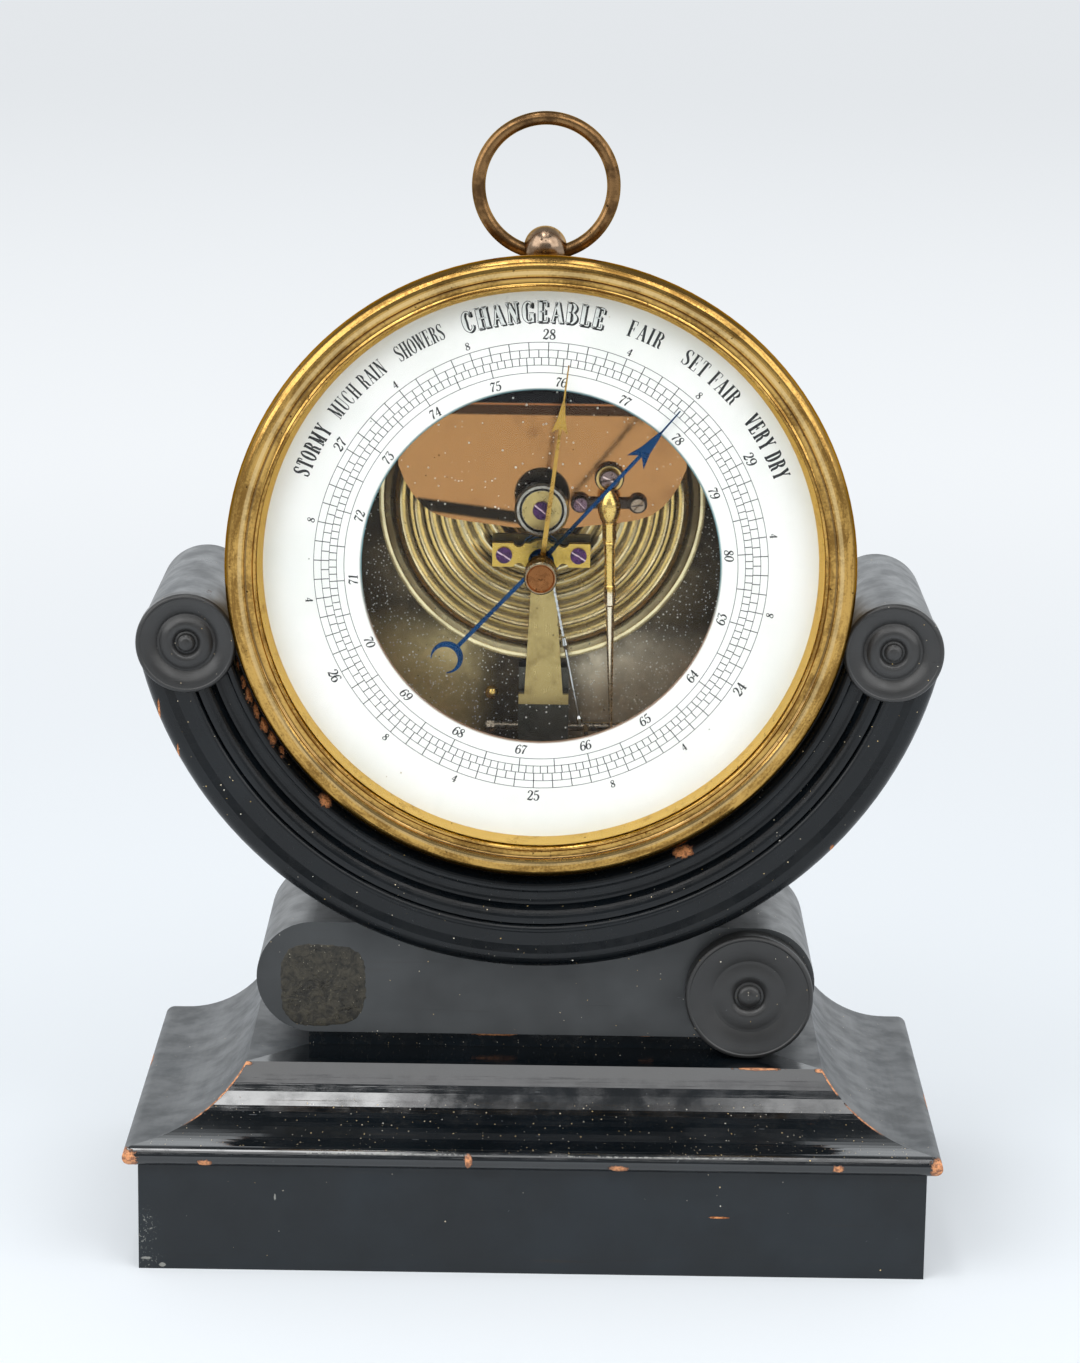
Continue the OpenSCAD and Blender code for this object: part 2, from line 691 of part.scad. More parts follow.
// Fusee chain from the drum on the arbor to the top of the pull rod.
module chain() {
  links = 11;
  start = 1.9;
  pitch = (rod_top - start - 0.6) / links;
  color("#9a9c9a")
  on_dial() translate([0, 0, chain_z]) rotate([0, 0, chain_lean])
    translate([chain_drum_r + 0.36, 0, 0]) {
      for (i = [0:links - 1]) translate([0, -start - i * pitch, (i % 2) * 0.28 - 0.26]) linear_extrude(0.24) {
        for (e = [0, 1]) translate([0, -e * pitch]) circle(0.3, $fn = 24);
        translate([-0.2, -pitch]) square([0.4, pitch]);
      }
      for (i = [0:links]) translate([0, -start - i * pitch, -0.3]) cylinder(r = 0.16, h = 0.6, $fn = 24);
    }
}

// Hands and arbor

module arbor() {
  color("#8c8f90")
  on_dial() turned([[0, strap_z - strap_t], [arbor_r, strap_z - strap_t], [arbor_r, strap_z + 0.2],
    [chain_drum_r + 0.5, strap_z + 0.2], [chain_drum_r + 0.5, strap_z + 0.45], [chain_drum_r, strap_z + 0.45],
    [chain_drum_r, strap_z + 1.3], [collet_r, strap_z + 1.3], [collet_r, strap_z + 2.3],
    [arbor_r, strap_z + 2.3], [arbor_r, -4.9], [arbor_r - 0.2, -4.6], [0, -4.6]]);
}

// Outline of a hand's arrow head along +y: swept-back barbs, a hollow-sided blade and a needle.
module arrow(barb, barb_w, neck, shoulder, tip, w) {
  half = [[w, neck], [barb_w, barb], [0.5 * barb_w, barb + 0.45 * (shoulder - barb)],
    [0.2 * barb_w, shoulder], [0.2, shoulder + 0.7], [0.13, tip]];
  polygon(concat(half, [for (i = [len(half) - 1:-1:0]) [-half[i].x, half[i].y]]));
}

// Blued pointer: flat tail behind the dial plane, set a little off the arm's line, and an
// arm that rises through the opening.
module pointer() {
  t = 0.35;
  tail_set = 3.3;
  hub_z = -6;
  over_z = 1;
  rise_from = 4;
  rise_to = dial_open_r - 3;
  lift = atan((over_z - hub_z) / (rise_to - rise_from));
  color("#1d3f66")
  on_dial() rotate([0, 0, -pointer_angle]) {
    difference() {
      translate([0, 0, hub_z - 0.6]) cylinder(r = 2.7, h = 1.6);
      translate([0, 0, hub_z - 1]) cylinder(r = arbor_r, h = 3);
    }
    translate([-0.5, 2, hub_z]) cube([1, rise_from - 2 + 0.1, t]);
    translate([0, rise_from, hub_z]) rotate([lift, 0, 0])
      linear_extrude(t) translate([-0.38, 0]) square([0.76, (rise_to - rise_from) / cos(lift) + 0.04]);
    translate([0, 0, over_z]) linear_extrude(t)
      arrow(pointer_len - 14, 2.25, pointer_len - 12.4, pointer_len - 6.6, pointer_len, 0.38);
    translate([0, 0, hub_z]) linear_extrude(t) rotate(-tail_set) {
      translate([-0.42, -tail_len + 3]) square([0.84, tail_len - 4]);
      difference() {
        translate([0, -tail_len]) circle(3.4);
        translate([0, -tail_len - 0.7]) circle(2.75);
        translate([-2.2, -tail_len - 5]) square([4.4, 3.2]);
      }
    }
  }
}

module set_hand() {
  t = 0.35;
  hand_z = 2;
  color("#b99046")
  on_dial() rotate([0, 0, -set_angle]) difference() {
    union() {
      translate([0, 0, -0.4]) cylinder(r = 2.4, h = hand_z + 0.4 + t);
      translate([0, 0, hand_z]) linear_extrude(t) {
        polygon([[-0.55, 1], [0.55, 1], [0.3, set_len - 13], [-0.3, set_len - 13]]);
        arrow(set_len - 14.2, 1.75, set_len - 13.1, set_len - 8.1, set_len, 0.3);
      }
    }
    translate([0, 0, -1]) cylinder(r = spindle_r, h = 5);
  }
}

// Turned knob in front of the glass, in one with the spindle that carries the set hand.
module set_knob() {
  knob_back = lip_z + 0.8;
  color("#8f7355")
  on_dial() turned(concat(
    [[0, -0.4], [spindle_r, -0.4], [spindle_r, knob_back], [2.2, knob_back], [2.2, knob_back + 0.8]],
    arc(knob_r - 0.5, knob_back + 1.6, 0.5, -60, 0, 3),
    [[knob_r, knob_front - 0.4], [knob_r - 0.25, knob_front], [knob_r - 0.6, knob_front],
     [knob_r - 0.8, knob_front - 0.3], [0, knob_front - 0.15]]));
}

// Turned brass lever: pear-shaped ball, eight-sided block and collar, neck, block and long spike.
module main_lever() {
  color("#b8923f")
  on_dial() translate([lever_x, lever_y, lever_z]) rotate([90 + lever_lean, 0, 0]) rotate([0, lever_tilt, 0]) {
    turned(concat([[0, -1.6 * lever_ball_r], [0.7, -1.6 * lever_ball_r]],
      [for (i = [0:6]) let (u = i / 6)
        [0.8 + (lever_ball_r - 0.8) * sin(90 * u), -1.55 * lever_ball_r * (1 - u)]],
      [for (i = [1:6]) let (u = i / 6) [lever_ball_r - 0.75 * u * u, 3 * u]],
      [[1.4, 3.1], [1.4, 7.2], [1.15, 7.4], [1.3, 7.6], [1.3, 7.9], [1.1, 8.1], [1.02, 17.1],
       [1.15, 17.3], [1.15, 21.5], [0.9, 21.9], [0.25, lever_len - 0.3], [0, lever_len]]));
    translate([0, 0, 3.3]) rotate([0, 0, 22.5]) cylinder(r = 1.6, h = 3.6, $fn = 8);
    translate([0, 0, 17.6]) rotate([0, 0, 22.5]) cylinder(r = 1.32, h = 3.6, $fn = 8);
  }
  color("#b8923f")
  on_dial() translate([lever_tip_x, lever_tip_y, rocker_z + 0.9])
    cylinder(r = 0.3, h = lever_tip_z - rocker_z - 0.7, $fn = 24);
}

// Foot of the lever: a bar screwed to the leaf, with a rest for the ball and a round boss above.
module lever_foot() {
  foot_y_on_leaf = lever_y - capsule_y;
  rest_y = foot_y_on_leaf + (lever_z - leaf_z) * sin(leaf_tilt);
  ball_over_leaf = (lever_z - leaf_z) * cos(leaf_tilt) - foot_y_on_leaf * sin(leaf_tilt);
  rest_h = ball_over_leaf - lever_ball_r - ball_gap - 1;
  color("#5a5146")
  on_dial() on_leaf() {
    translate([lever_x, foot_y_on_leaf, 0]) linear_extrude(1) {
      for (s = [-1, 1]) translate([s * 6, 0.3]) circle(2);
      translate([-6, -0.7]) square([12, 2]);
      translate([0, 6]) circle(3.1);
      translate([-1.2, 0]) square([2.4, 5]);
    }
    translate([lever_x, rest_y, 1 - eps]) cylinder(r = 0.9, h = rest_h + eps);
    for (s = [-1, 1]) translate([lever_x + s * 6, foot_y_on_leaf + 0.3, 1 - eps])
      screw(1.6, 0.8, 0.8, 0.5, 90 - s * 40);
    translate([lever_x, foot_y_on_leaf + 6, 1 - eps]) screw(2.1, 1.2, 0.8, 0.5, 10);
  }
}

// Rocker shaft with the arm that works the pull rod and the crank beside the lever.
module rocker_shaft() {
  rod_x = rod_end * sin(chain_lean) + (chain_drum_r + 0.36) * cos(chain_lean) + 0.75;
  color("#a9abab")
  on_dial() {
    translate([-11.5, rocker_y, rocker_z]) rotate([0, 90, 0]) cylinder(r = rocker_r, h = 29);
    translate([-11.2, rocker_y, rocker_z]) rotate([0, 90, 0]) cylinder(r = 1.35, h = 1.6, $fn = 6);
    translate([rod_x, rocker_y - 0.6, rocker_z]) cube([0.9, 1.2, chain_z - rocker_z + 0.6]);
    translate([lever_tip_x - 0.8, lever_tip_y - 0.8, rocker_z - 0.6]) cube([1.6, rocker_y - lever_tip_y + 0.8, 1.2]);
  }
}

// Steel pull rod from the end of the chain down to the rocker's arm.
module pull_rod() {
  color("#b4b6b6")
  on_dial() translate([0, 0, chain_z]) rotate([0, 0, chain_lean])
    translate([chain_drum_r + 0.36, -rod_end, 0]) rotate([-90, 0, 0]) turned(
      [[0, 0], [0.6, 0], [0.6, 1.4], [0.35, 2], [0.35, rod_end - rod_top - 2.6], [0.75, rod_end - rod_top - 1.6],
       [0.5, rod_end - rod_top], [0, rod_end - rod_top]]);
}

// Adjusting screw, reached by a screwdriver through a small hole in the back of the case.
module adjusting_screw() {
  head_z = drum_back + drum_wall + 0.3;
  color("#6d6f72")
  on_dial() translate([0, adjust_y, 0]) difference() {
    union() {
      translate([0, 0, head_z]) cylinder(r = 3, h = 2.2);
      translate([0, 0, head_z + 1]) cylinder(r = 2, h = plate_z - head_z - 1);
    }
    translate([-4, -0.4, head_z - 1]) cube([8, 0.8, 1.8]);
  }
}

plinth();
front_moulding();
side_mouldings();
core_board();
scroll_block();
cradle();
left_roller();
right_roller();
left_roundel();
right_roundel();
lower_roundel();
case_drum();
case_screws();
bezel();
glass();
sight_ring();
dial();
glass_bush();
pendant_ball();
hanging_ring();
base_plate();
plate_pillars();
plate_stud();
capsule();
capsule_nut();
capsule_post();
post_screw();
mainspring();
spring_screws();
rocker_bracket();
arbor_strap();
cock_pillars();
arbor_cock();
cock_screws();
hairspring();
chain();
arbor();
pointer();
set_hand();
set_knob();
main_lever();
lever_foot();
rocker_shaft();
pull_rod();
adjusting_screw();
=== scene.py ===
"""Looks of a desk barometer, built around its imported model.

Finishes are node materials on Object coordinates, which here are the model's own
coordinates in metres. The printing on the dial and the scar of the lost roundel are
surfaces worked out with numpy. Sizes below are in millimetres, as a maker writes them,
and become metres only when a mesh or a material is made.
"""

import logging
import math
from dataclasses import dataclass, replace
from enum import Enum
from typing import Sequence, Union

import bpy
import numpy as np
from mathutils import Matrix, Vector


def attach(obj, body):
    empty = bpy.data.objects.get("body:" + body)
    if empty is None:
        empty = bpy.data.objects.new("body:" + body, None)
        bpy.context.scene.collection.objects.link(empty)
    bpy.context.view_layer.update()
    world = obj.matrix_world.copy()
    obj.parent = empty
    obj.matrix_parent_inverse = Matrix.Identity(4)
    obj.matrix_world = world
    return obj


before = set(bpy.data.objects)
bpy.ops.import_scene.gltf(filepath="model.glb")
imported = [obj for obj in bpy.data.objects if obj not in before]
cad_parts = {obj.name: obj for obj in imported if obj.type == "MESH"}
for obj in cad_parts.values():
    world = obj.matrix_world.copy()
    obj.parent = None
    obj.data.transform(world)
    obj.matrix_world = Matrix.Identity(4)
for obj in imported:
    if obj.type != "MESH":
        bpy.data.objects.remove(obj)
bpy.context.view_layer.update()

logging.basicConfig(level=logging.INFO, format="%(name)s: %(message)s")
LOG = logging.getLogger("barometer")

MM = 0.001
SEED = 1887
Array = np.ndarray
Point = tuple[float, float, float]
Colour = tuple[float, float, float]
Socket = bpy.types.NodeSocket
Value = Union[Socket, float, Sequence[float]]

# Face and middle of the dial, middle of the capsule, and underside and face of the ink
# over the dial, all in millimetres.
DIAL_Y = -23.0
DIAL_Z = 146.1
CAPSULE_Z = 156.1
INK_LOW, INK_HIGH = -0.01, 0.02

# The front mitres lie where |x| + y is MITRE; they are worn from the nosing up to the ledge.
MITRE, NOSING_TOP, LEDGE_TOP = 37.0, 28.3, 38.6
BEZEL_MIDDLE = 64.0


# --------------------------------------------------------------------------- materials


class Graph:
    """The node tree of one material, written as calls that give back output sockets."""

    def __init__(self, tree: bpy.types.NodeTree) -> None:
        """Takes over a tree and empties it."""
        self.tree = tree
        tree.nodes.clear()
        self._place: Union[Socket, None] = None

    def put(self, socket: Socket, value: Value) -> None:
        """Links a socket to another one, or sets it to a plain number or colour.

        Args:
            socket: The input to fill.
            value: An output socket, a number, a vector or a colour.
        """
        if isinstance(value, bpy.types.NodeSocket):
            self.tree.links.new(value, socket)
        elif hasattr(value, "__len__") and len(socket.default_value) == 4 and len(value) == 3:
            socket.default_value = (*value, 1.0)
        else:
            socket.default_value = value

    def node(self, kind: str, **settings: object) -> bpy.types.Node:
        """Adds a node of a kind and sets its options.

        Args:
            kind: The node's type name.
            **settings: Properties of the node.

        Returns:
            The new node.
        """
        made = self.tree.nodes.new(kind)
        for name, value in settings.items():
            setattr(made, name, value)
        return made

    def place(self) -> Socket:
        """The point on the piece, in metres in the model's own frame."""
        if self._place is None:
            self._place = self.node("ShaderNodeTexCoord").outputs["Object"]
        return self._place

    def fill(self, made: bpy.types.Node, *values: Value) -> bpy.types.Node:
        """Fills the inputs of a node in their order, and gives the node back."""
        for socket, value in zip(made.inputs, values):
            self.put(socket, value)
        return made

    def math(self, op: str, a: Value, b: Value = 0.0, clamp: bool = False) -> Socket:
        """One arithmetic step on two numbers."""
        made = self.node("ShaderNodeMath", operation=op, use_clamp=clamp)
        return self.fill(made, a, b).outputs[0]

    def mul(self, a: Value, b: Value) -> Socket:
        """The product of two numbers."""
        return self.math("MULTIPLY", a, b)

    def add(self, a: Value, b: Value, clamp: bool = False) -> Socket:
        """The sum of two numbers."""
        return self.math("ADD", a, b, clamp)

    def sub(self, a: Value, b: Value) -> Socket:
        """The first number less the second."""
        return self.math("SUBTRACT", a, b)

    def most(self, a: Value, *others: Value) -> Socket:
        """The largest of some numbers, which joins masks."""
        for other in others:
            a = self.math("MAXIMUM", a, other)
        return a

    def vector(self, op: str, a: Value, b: Value = (0.0, 0.0, 0.0)) -> Socket:
        """One step on two vectors; lengths come back as a number."""
        made = self.fill(self.node("ShaderNodeVectorMath", operation=op), a, b)
        return made.outputs["Value" if op == "LENGTH" else "Vector"]

    def axes(self, point: Value) -> tuple[Socket, Socket, Socket]:
        """The three coordinates of a vector."""
        return tuple(self.fill(self.node("ShaderNodeSeparateXYZ"), point).outputs)

    def combine(self, x: Value, y: Value, z: Value) -> Socket:
        """A vector from three numbers."""
        return self.fill(self.node("ShaderNodeCombineXYZ"), x, y, z).outputs[0]

    def mapped(
        self, point: Value, scale: Point = (1.0, 1.0, 1.0), turn: Point = (0.0, 0.0, 0.0)
    ) -> Socket:
        """A point turned and then stretched, as for grain or scratches.

        Args:
            point: The point to map.
            scale: Stretch along each axis.
            turn: Rotation about each axis, in degrees.

        Returns:
            The mapped point.
        """
        first = self.texture("ShaderNodeMapping", point, Rotation=tuple(np.radians(turn)))
        return self.texture("ShaderNodeMapping", first.outputs[0], Scale=scale).outputs[0]

    def texture(self, kind: str, point: Value, **settings: object) -> bpy.types.Node:
        """A node that works on a point, with plain values on its other inputs."""
        made = self.node(kind)
        self.put(made.inputs["Vector"], point)
        for name, value in settings.items():
            made.inputs[name].default_value = value
        return made

    def noise(
        self, point: Value, scale: float, detail: float = 3.0, rough: float = 0.55,
        warp: float = 0.0,
    ) -> Socket:
        """Soft fractal noise from 0 to 1, with its features about 1/scale apart."""
        made = self.texture(
            "ShaderNodeTexNoise", point, Scale=scale, Detail=detail, Roughness=rough,
            Distortion=warp,
        )
        return made.outputs[0]

    def cells(self, point: Value, scale: float) -> tuple[Socket, Socket]:
        """Scattered points: distance to the nearest one, and its random colour."""
        made = self.texture("ShaderNodeTexVoronoi", point, Scale=scale)
        return made.outputs["Distance"], made.outputs["Color"]

    def ramp(
        self, value: Value, low: float, high: float, to_low: float = 0.0, to_high: float = 1.0
    ) -> Socket:
        """A number taken smoothly from one range to another, and held at its ends.

        Args:
            value: The number.
            low: Where the change starts.
            high: Where the change ends, above low.
            to_low: Result at and below low.
            to_high: Result at and above high.

        Returns:
            The new number.
        """
        made = self.node("ShaderNodeMapRange", interpolation_type="SMOOTHSTEP")
        return self.fill(made, value, low, high, to_low, to_high).outputs[0]

    def between(self, value: Value, low: float, high: float, soft: float) -> Socket:
        """1 where a number lies between two others, falling to 0 over edges inside them."""
        return self.mul(
            self.ramp(value, low, low + soft), self.ramp(value, high - soft, high, 1.0, 0.0)
        )

    def mix(self, amount: Value, a: Value, b: Value) -> Socket:
        """Colour a changed to colour b by an amount from 0 to 1."""
        made = self.node("ShaderNodeMix", data_type="RGBA")
        self.put(made.inputs[0], amount)
        self.put(made.inputs[6], a)
        self.put(made.inputs[7], b)
        return made.outputs[2]

    def bump(self, height: Value, depth_mm: float, under: Union[Socket, None] = None) -> Socket:
        """A normal bent by a height from 0 to 1 that stands for depth_mm of relief."""
        made = self.node("ShaderNodeBump")
        self.put(made.inputs["Height"], height)
        made.inputs["Distance"].default_value = depth_mm * MM
        made.inputs["Strength"].default_value = 1.0
        if under is not None:
            self.put(made.inputs["Normal"], under)
        return made.outputs[0]

    def specks(
        self, point: Value, apart_mm: float, size_mm: float, share: float
    ) -> tuple[Socket, Socket]:
        """Scattered round specks of uneven size.

        Args:
            point: The point in metres.
            apart_mm: Size of the cells that hold one speck each.
            size_mm: Radius of the largest specks.
            share: Share of the cells that keep their speck.

        Returns:
            The mask, 1 inside a speck, and a random number for each speck.
        """
        distance, colour = self.cells(point, 1000.0 / apart_mm)
        red, green, blue = self.axes(colour)
        reach = self.mul(self.add(green, 0.25), size_mm / apart_mm)
        inside = self.math("LESS_THAN", distance, reach)
        kept = self.math("LESS_THAN", red, share)
        return self.mul(inside, kept), blue

    def polar(self, centre_z: float, centre_x: float = 0.0) -> tuple[Socket, Socket, Socket]:
        """Radius in metres about a front-to-back axis, and the unit direction across it.

        Args:
            centre_z: Height of the axis in millimetres.
            centre_x: Distance of the axis to the right in millimetres.

        Returns:
            Radius, and the x and z parts of the direction.
        """
        x, _, z = self.axes(self.place())
        dx = self.sub(x, centre_x * MM)
        dz = self.sub(z, centre_z * MM)
        radius = self.vector("LENGTH", self.combine(dx, 0.0, dz))
        return radius, self.math("DIVIDE", dx, radius), self.math("DIVIDE", dz, radius)

    def shader(self, kind: str = "BsdfPrincipled", **inputs: Value) -> Socket:
        """A shader; a plain value is set on it, and any other is linked."""
        made = self.node("ShaderNode" + kind)
        for name, value in inputs.items():
            self.put(made.inputs[name.replace("_", " ")], value)
        return made.outputs[0]

    def blend(self, amount: Value, a: Socket, b: Socket) -> Socket:
        """Shader a changed to shader b by an amount from 0 to 1."""
        return self.fill(self.node("ShaderNodeMixShader"), amount, a, b).outputs[0]

    def end(self, surface: Socket, kind: str = "Material") -> None:
        """Ends the tree of a material or a world with its shader."""
        self.fill(self.node("ShaderNodeOutput" + kind), surface)


@dataclass(frozen=True)
class Finish:
    """A finish, made once as a material and shared by the pieces that wear it."""

    name: str

    def material(self) -> bpy.types.Material:
        """The material of this finish, made at its first use.

        Its name starts with look_, because the CAD frame brings materials of its own.
        """
        name = "look_" + self.name
        known = bpy.data.materials.get(name)
        if known is not None:
            return known
        made = bpy.data.materials.new(name)
        made.use_nodes = True
        self.paint(Graph(made.node_tree))
        return made

    def paint(self, g: Graph) -> None:
        """Writes the finish into an empty node tree."""
        raise NotImplementedError


class Grain(Enum):
    """Which way the wood's fibres run, as how far the pattern stretches along each axis."""

    ACROSS = (0.03, 1.0, 1.0)
    DEEP = (1.0, 0.03, 1.0)


@dataclass(frozen=True)
class Chip:
    """A place where the black polish has come off, or a pale mark; most pale marks are scuffs, and
    the lines along the nosing are a painted highlight.

    Args:
        at: Centre in millimetres.
        reach: Half its size along each axis in millimetres.
        bare: 1 for bare wood, 0 for a pale mark, between them for a spatter of pale specks.
    """

    at: Point
    reach: Point
    bare: float = 1.0


def chips(y: float, deep: float, *rows: tuple[float, ...]) -> tuple[Chip, ...]:
    """Chips at one depth.

    Args:
        y: Their place from front to back.
        deep: Their reach from front to back.
        *rows: For each its x and z, its reach across and up, and how bare it is if not 1.

    Returns:
        The chips.
    """
    return tuple(Chip((x, y, z), (wide, deep, high), *bare) for x, z, wide, high, *bare in rows)


@dataclass(frozen=True)
class EbonisedWood(Finish):
    """Black-stained, polished pear wood, with pores, dust, scratches and chips.

    Args:
        grain: Way of the fibres.
        rough: Roughness of the clean polish.
        dust: How thick dust lies between two heights.
        dust_low: Height in millimetres where the dust starts.
        dust_high: Height where it ends.
        scratches: How many fine scratches there are.
        black: Colour of the polish; lighter on some pieces as painted light, darker on others as
            painted shade.
        polish: Its index of refraction.
        mitre_wear: Whether the front mitres are worn.
        chips: Places where the polish has come off, and pale marks, some of them a painted
            highlight.
    """

    grain: Grain = Grain.ACROSS
    rough: float = 0.3
    dust: float = 0.1
    dust_low: float = 0.0
    dust_high: float = 0.0
    scratches: float = 0.3
    black: Colour = (0.0042, 0.0072, 0.0102)
    polish: float = 1.5
    mitre_wear: bool = False
    chips: tuple[Chip, ...] = ()

    def _chipped(self, g: Graph, ragged: Socket) -> tuple[Socket, Socket]:
        """Masks of bare wood and of pale marks: scuffs, and a painted highlight along the nosing.

        A chip is where the distance from its centre, measured in its own reach and
        roughened by noise, is under one.
        """
        masks: list[Union[Socket, float]] = [0.0, 0.0]
        shift = g.mul(g.sub(ragged, 0.5), 1.9)
        for chip in self.chips:
            gone = g.vector("SUBTRACT", g.place(), tuple(v * MM for v in chip.at))
            scaled = g.vector("DIVIDE", gone, tuple(v * MM for v in chip.reach))
            distance = g.add(g.vector("LENGTH", scaled), shift)
            inside = g.ramp(distance, 0.82, 1.0, 1.0, 0.0)
            if 0 < chip.bare < 1:
                grains = g.noise(g.place(), 2300.0, 3.0, 0.6)
                spatter = g.ramp(grains, 0.58, 0.68)
                inside = g.mul(g.ramp(distance, 0.2, 1.3, 1.0, 0.0), spatter)
            kind = 0 if chip.bare == 1 else 1
            masks[kind] = g.most(masks[kind], inside)
        return masks[0], masks[1]

    def _mitres(self, g: Graph, ragged: Socket) -> Socket:
        """Worn front mitres: close to their plane, above the nosing."""
        x, y, z = g.axes(g.place())
        off = g.sub(g.add(g.math("ABSOLUTE", x), y), MITRE * MM)
        near = g.ramp(g.math("ABSOLUTE", off), 0.12 * MM, 0.55 * MM, 1.0, 0.0)
        patchy = g.ramp(g.noise(g.place(), 170.0, 2.0), 0.42, 0.5)
        worn = g.ramp(g.mul(near, g.add(ragged, 0.25)), 0.3, 0.42)
        above = g.ramp(z, NOSING_TOP * MM, (NOSING_TOP + 1.2) * MM)
        below = g.ramp(z, (LEDGE_TOP - 0.3) * MM, LEDGE_TOP * MM, 1.0, 0.0)
        return g.mul(g.mul(worn, patchy), g.mul(above, below))

    def paint(self, g: Graph) -> None:
        """Black body with brown pores, then dust, scratches and chips over it."""
        here = g.place()
        along = g.mapped(here, tuple(v * 900.0 for v in self.grain.value))
        fibres = g.noise(along, 1.0, 4.0, 0.6)
        clouds = g.noise(here, 45.0, 3.0)
        ragged = g.noise(here, 1300.0, 4.0, 0.7)
        body = g.mix(g.ramp(clouds, 0.35, 0.7), self.black, tuple(1.7 * v for v in self.black))
        body = g.mix(g.ramp(fibres, 0.62, 0.78, 0.0, 0.7), body, (0.0035, 0.003, 0.003))
        rubbed = g.ramp(g.mul(fibres, clouds), 0.33, 0.5, 0.0, 0.35)
        body = g.mix(rubbed, body, (0.03, 0.025, 0.021))
        handled = g.noise(here, 160.0, 4.0, 0.6)
        rough = g.add(g.ramp(handled, 0.3, 0.75, -0.06, 0.1), self.rough)

        line = g.mul(0.0, 0.0)
        for turn in ((0, 0, 0), (25, 48, 10), (10, -37, 75)):
            stretched = g.mapped(here, (0.1, 1.0, 1.0), turn)
            mark, _ = g.specks(stretched, 1.5, 0.07, 0.16 * self.scratches)
            line = g.most(line, mark)
        body = g.mix(g.mul(line, 0.45), body, (0.2, 0.21, 0.23))

        _, _, z = g.axes(here)
        band = g.ramp(z, self.dust_low * MM, (self.dust_low + 0.8) * MM)
        top = self.dust_high * MM
        band = g.mul(band, g.ramp(z, top - 1.5 * MM, top, 1.0, 0.0))
        lay = g.mul(g.ramp(clouds, 0.3, 0.62, 0.25, 1.0), band)
        specks, hue = g.specks(here, 0.62, 0.12, min(1.0, 0.42 * self.dust))
        specks = g.mul(specks, lay)
        strays, _ = g.specks(here, 2.6, 0.16, 0.1)
        specks = g.most(specks, strays)
        gold = g.mix(hue, (0.75, 0.5, 0.16), (0.8, 0.78, 0.7))
        body = g.mix(specks, body, gold)
        haze = g.ramp(g.noise(here, 900.0, 3.0), 0.5, 0.75, 0.0, 0.35 * self.dust)
        body = g.mix(g.mul(haze, lay), body, (0.06, 0.055, 0.045))

        bare, scuff_and_highlight = self._chipped(g, ragged)
        if self.mitre_wear:
            bare = g.most(bare, self._mitres(g, ragged))
        wood = g.mix(g.ramp(ragged, 0.4, 0.58), (0.24, 0.08, 0.026), (0.74, 0.3, 0.11))
        body = g.mix(bare, body, wood)
        body = g.mix(g.mul(scuff_and_highlight, 0.7), body, (0.36, 0.36, 0.33))

        dry = g.most(bare, scuff_and_highlight, specks)
        rough = g.add(rough, g.mul(dry, 0.45), clamp=True)
        rough = g.add(rough, g.mul(line, 0.12))
        normal = g.bump(fibres, 0.022)
        normal = g.bump(clouds, 0.05, normal)
        normal = g.bump(g.mul(line, -1.0), 0.03, normal)
        sunk = g.sub(g.mul(specks, 0.4), bare)
        normal = g.bump(sunk, 0.16, normal)
        g.end(g.shader(Base_Color=body, Roughness=rough, Normal=normal, IOR=self.polish))


@dataclass(frozen=True)
class Disc:
    """A disc or ring of another colour about a front-to-back axis.

    Args:
        x: Distance of the axis to the right in millimetres.
        z: Height of the axis in millimetres.
        inner: Radius where it starts, or 0 for a disc.
        outer: Radius where it ends.
        colour: Its colour.
        soft: Width of its edges in millimetres.
    """

    x: float
    z: float
    inner: float
    outer: float
    colour: Colour
    soft: float = 0.15

    def mask(self, g: Graph) -> Socket:
        """1 inside the ring, falling to 0 over its soft edges."""
        radius, _, _ = g.polar(self.z, self.x)
        soft, outer = self.soft * MM, self.outer * MM
        if self.inner > 0:
            return g.between(radius, self.inner * MM, outer, soft)
        return g.ramp(radius, outer - soft, outer, 1.0, 0.0)


@dataclass(frozen=True)
class Band:
    """A stretch of another colour between two heights and two sides.

    Args:
        low: Its lower edge in millimetres, at x = 0.
        high: Its upper edge, at x = 0.
        colour: Its colour.
        left: Its left end.
        right: Its right end.
        slope: How far its edges rise per millimetre to the right.
        soft: Width of its edges in millimetres.
    """

    low: float
    high: float
    colour: Colour
    left: float = -200.0
    right: float = 200.0
    slope: float = 0.0
    soft: float = 0.3

    def mask(self, g: Graph) -> Socket:
        """1 inside the band, falling to 0 over its soft edges."""
        x, _, z = g.axes(g.place())
        level = g.sub(z, g.mul(x, self.slope))
        soft = self.soft * MM
        return g.mul(
            g.between(level, self.low * MM, self.high * MM, soft),
            g.between(x, self.left * MM, self.right * MM, soft),
        )


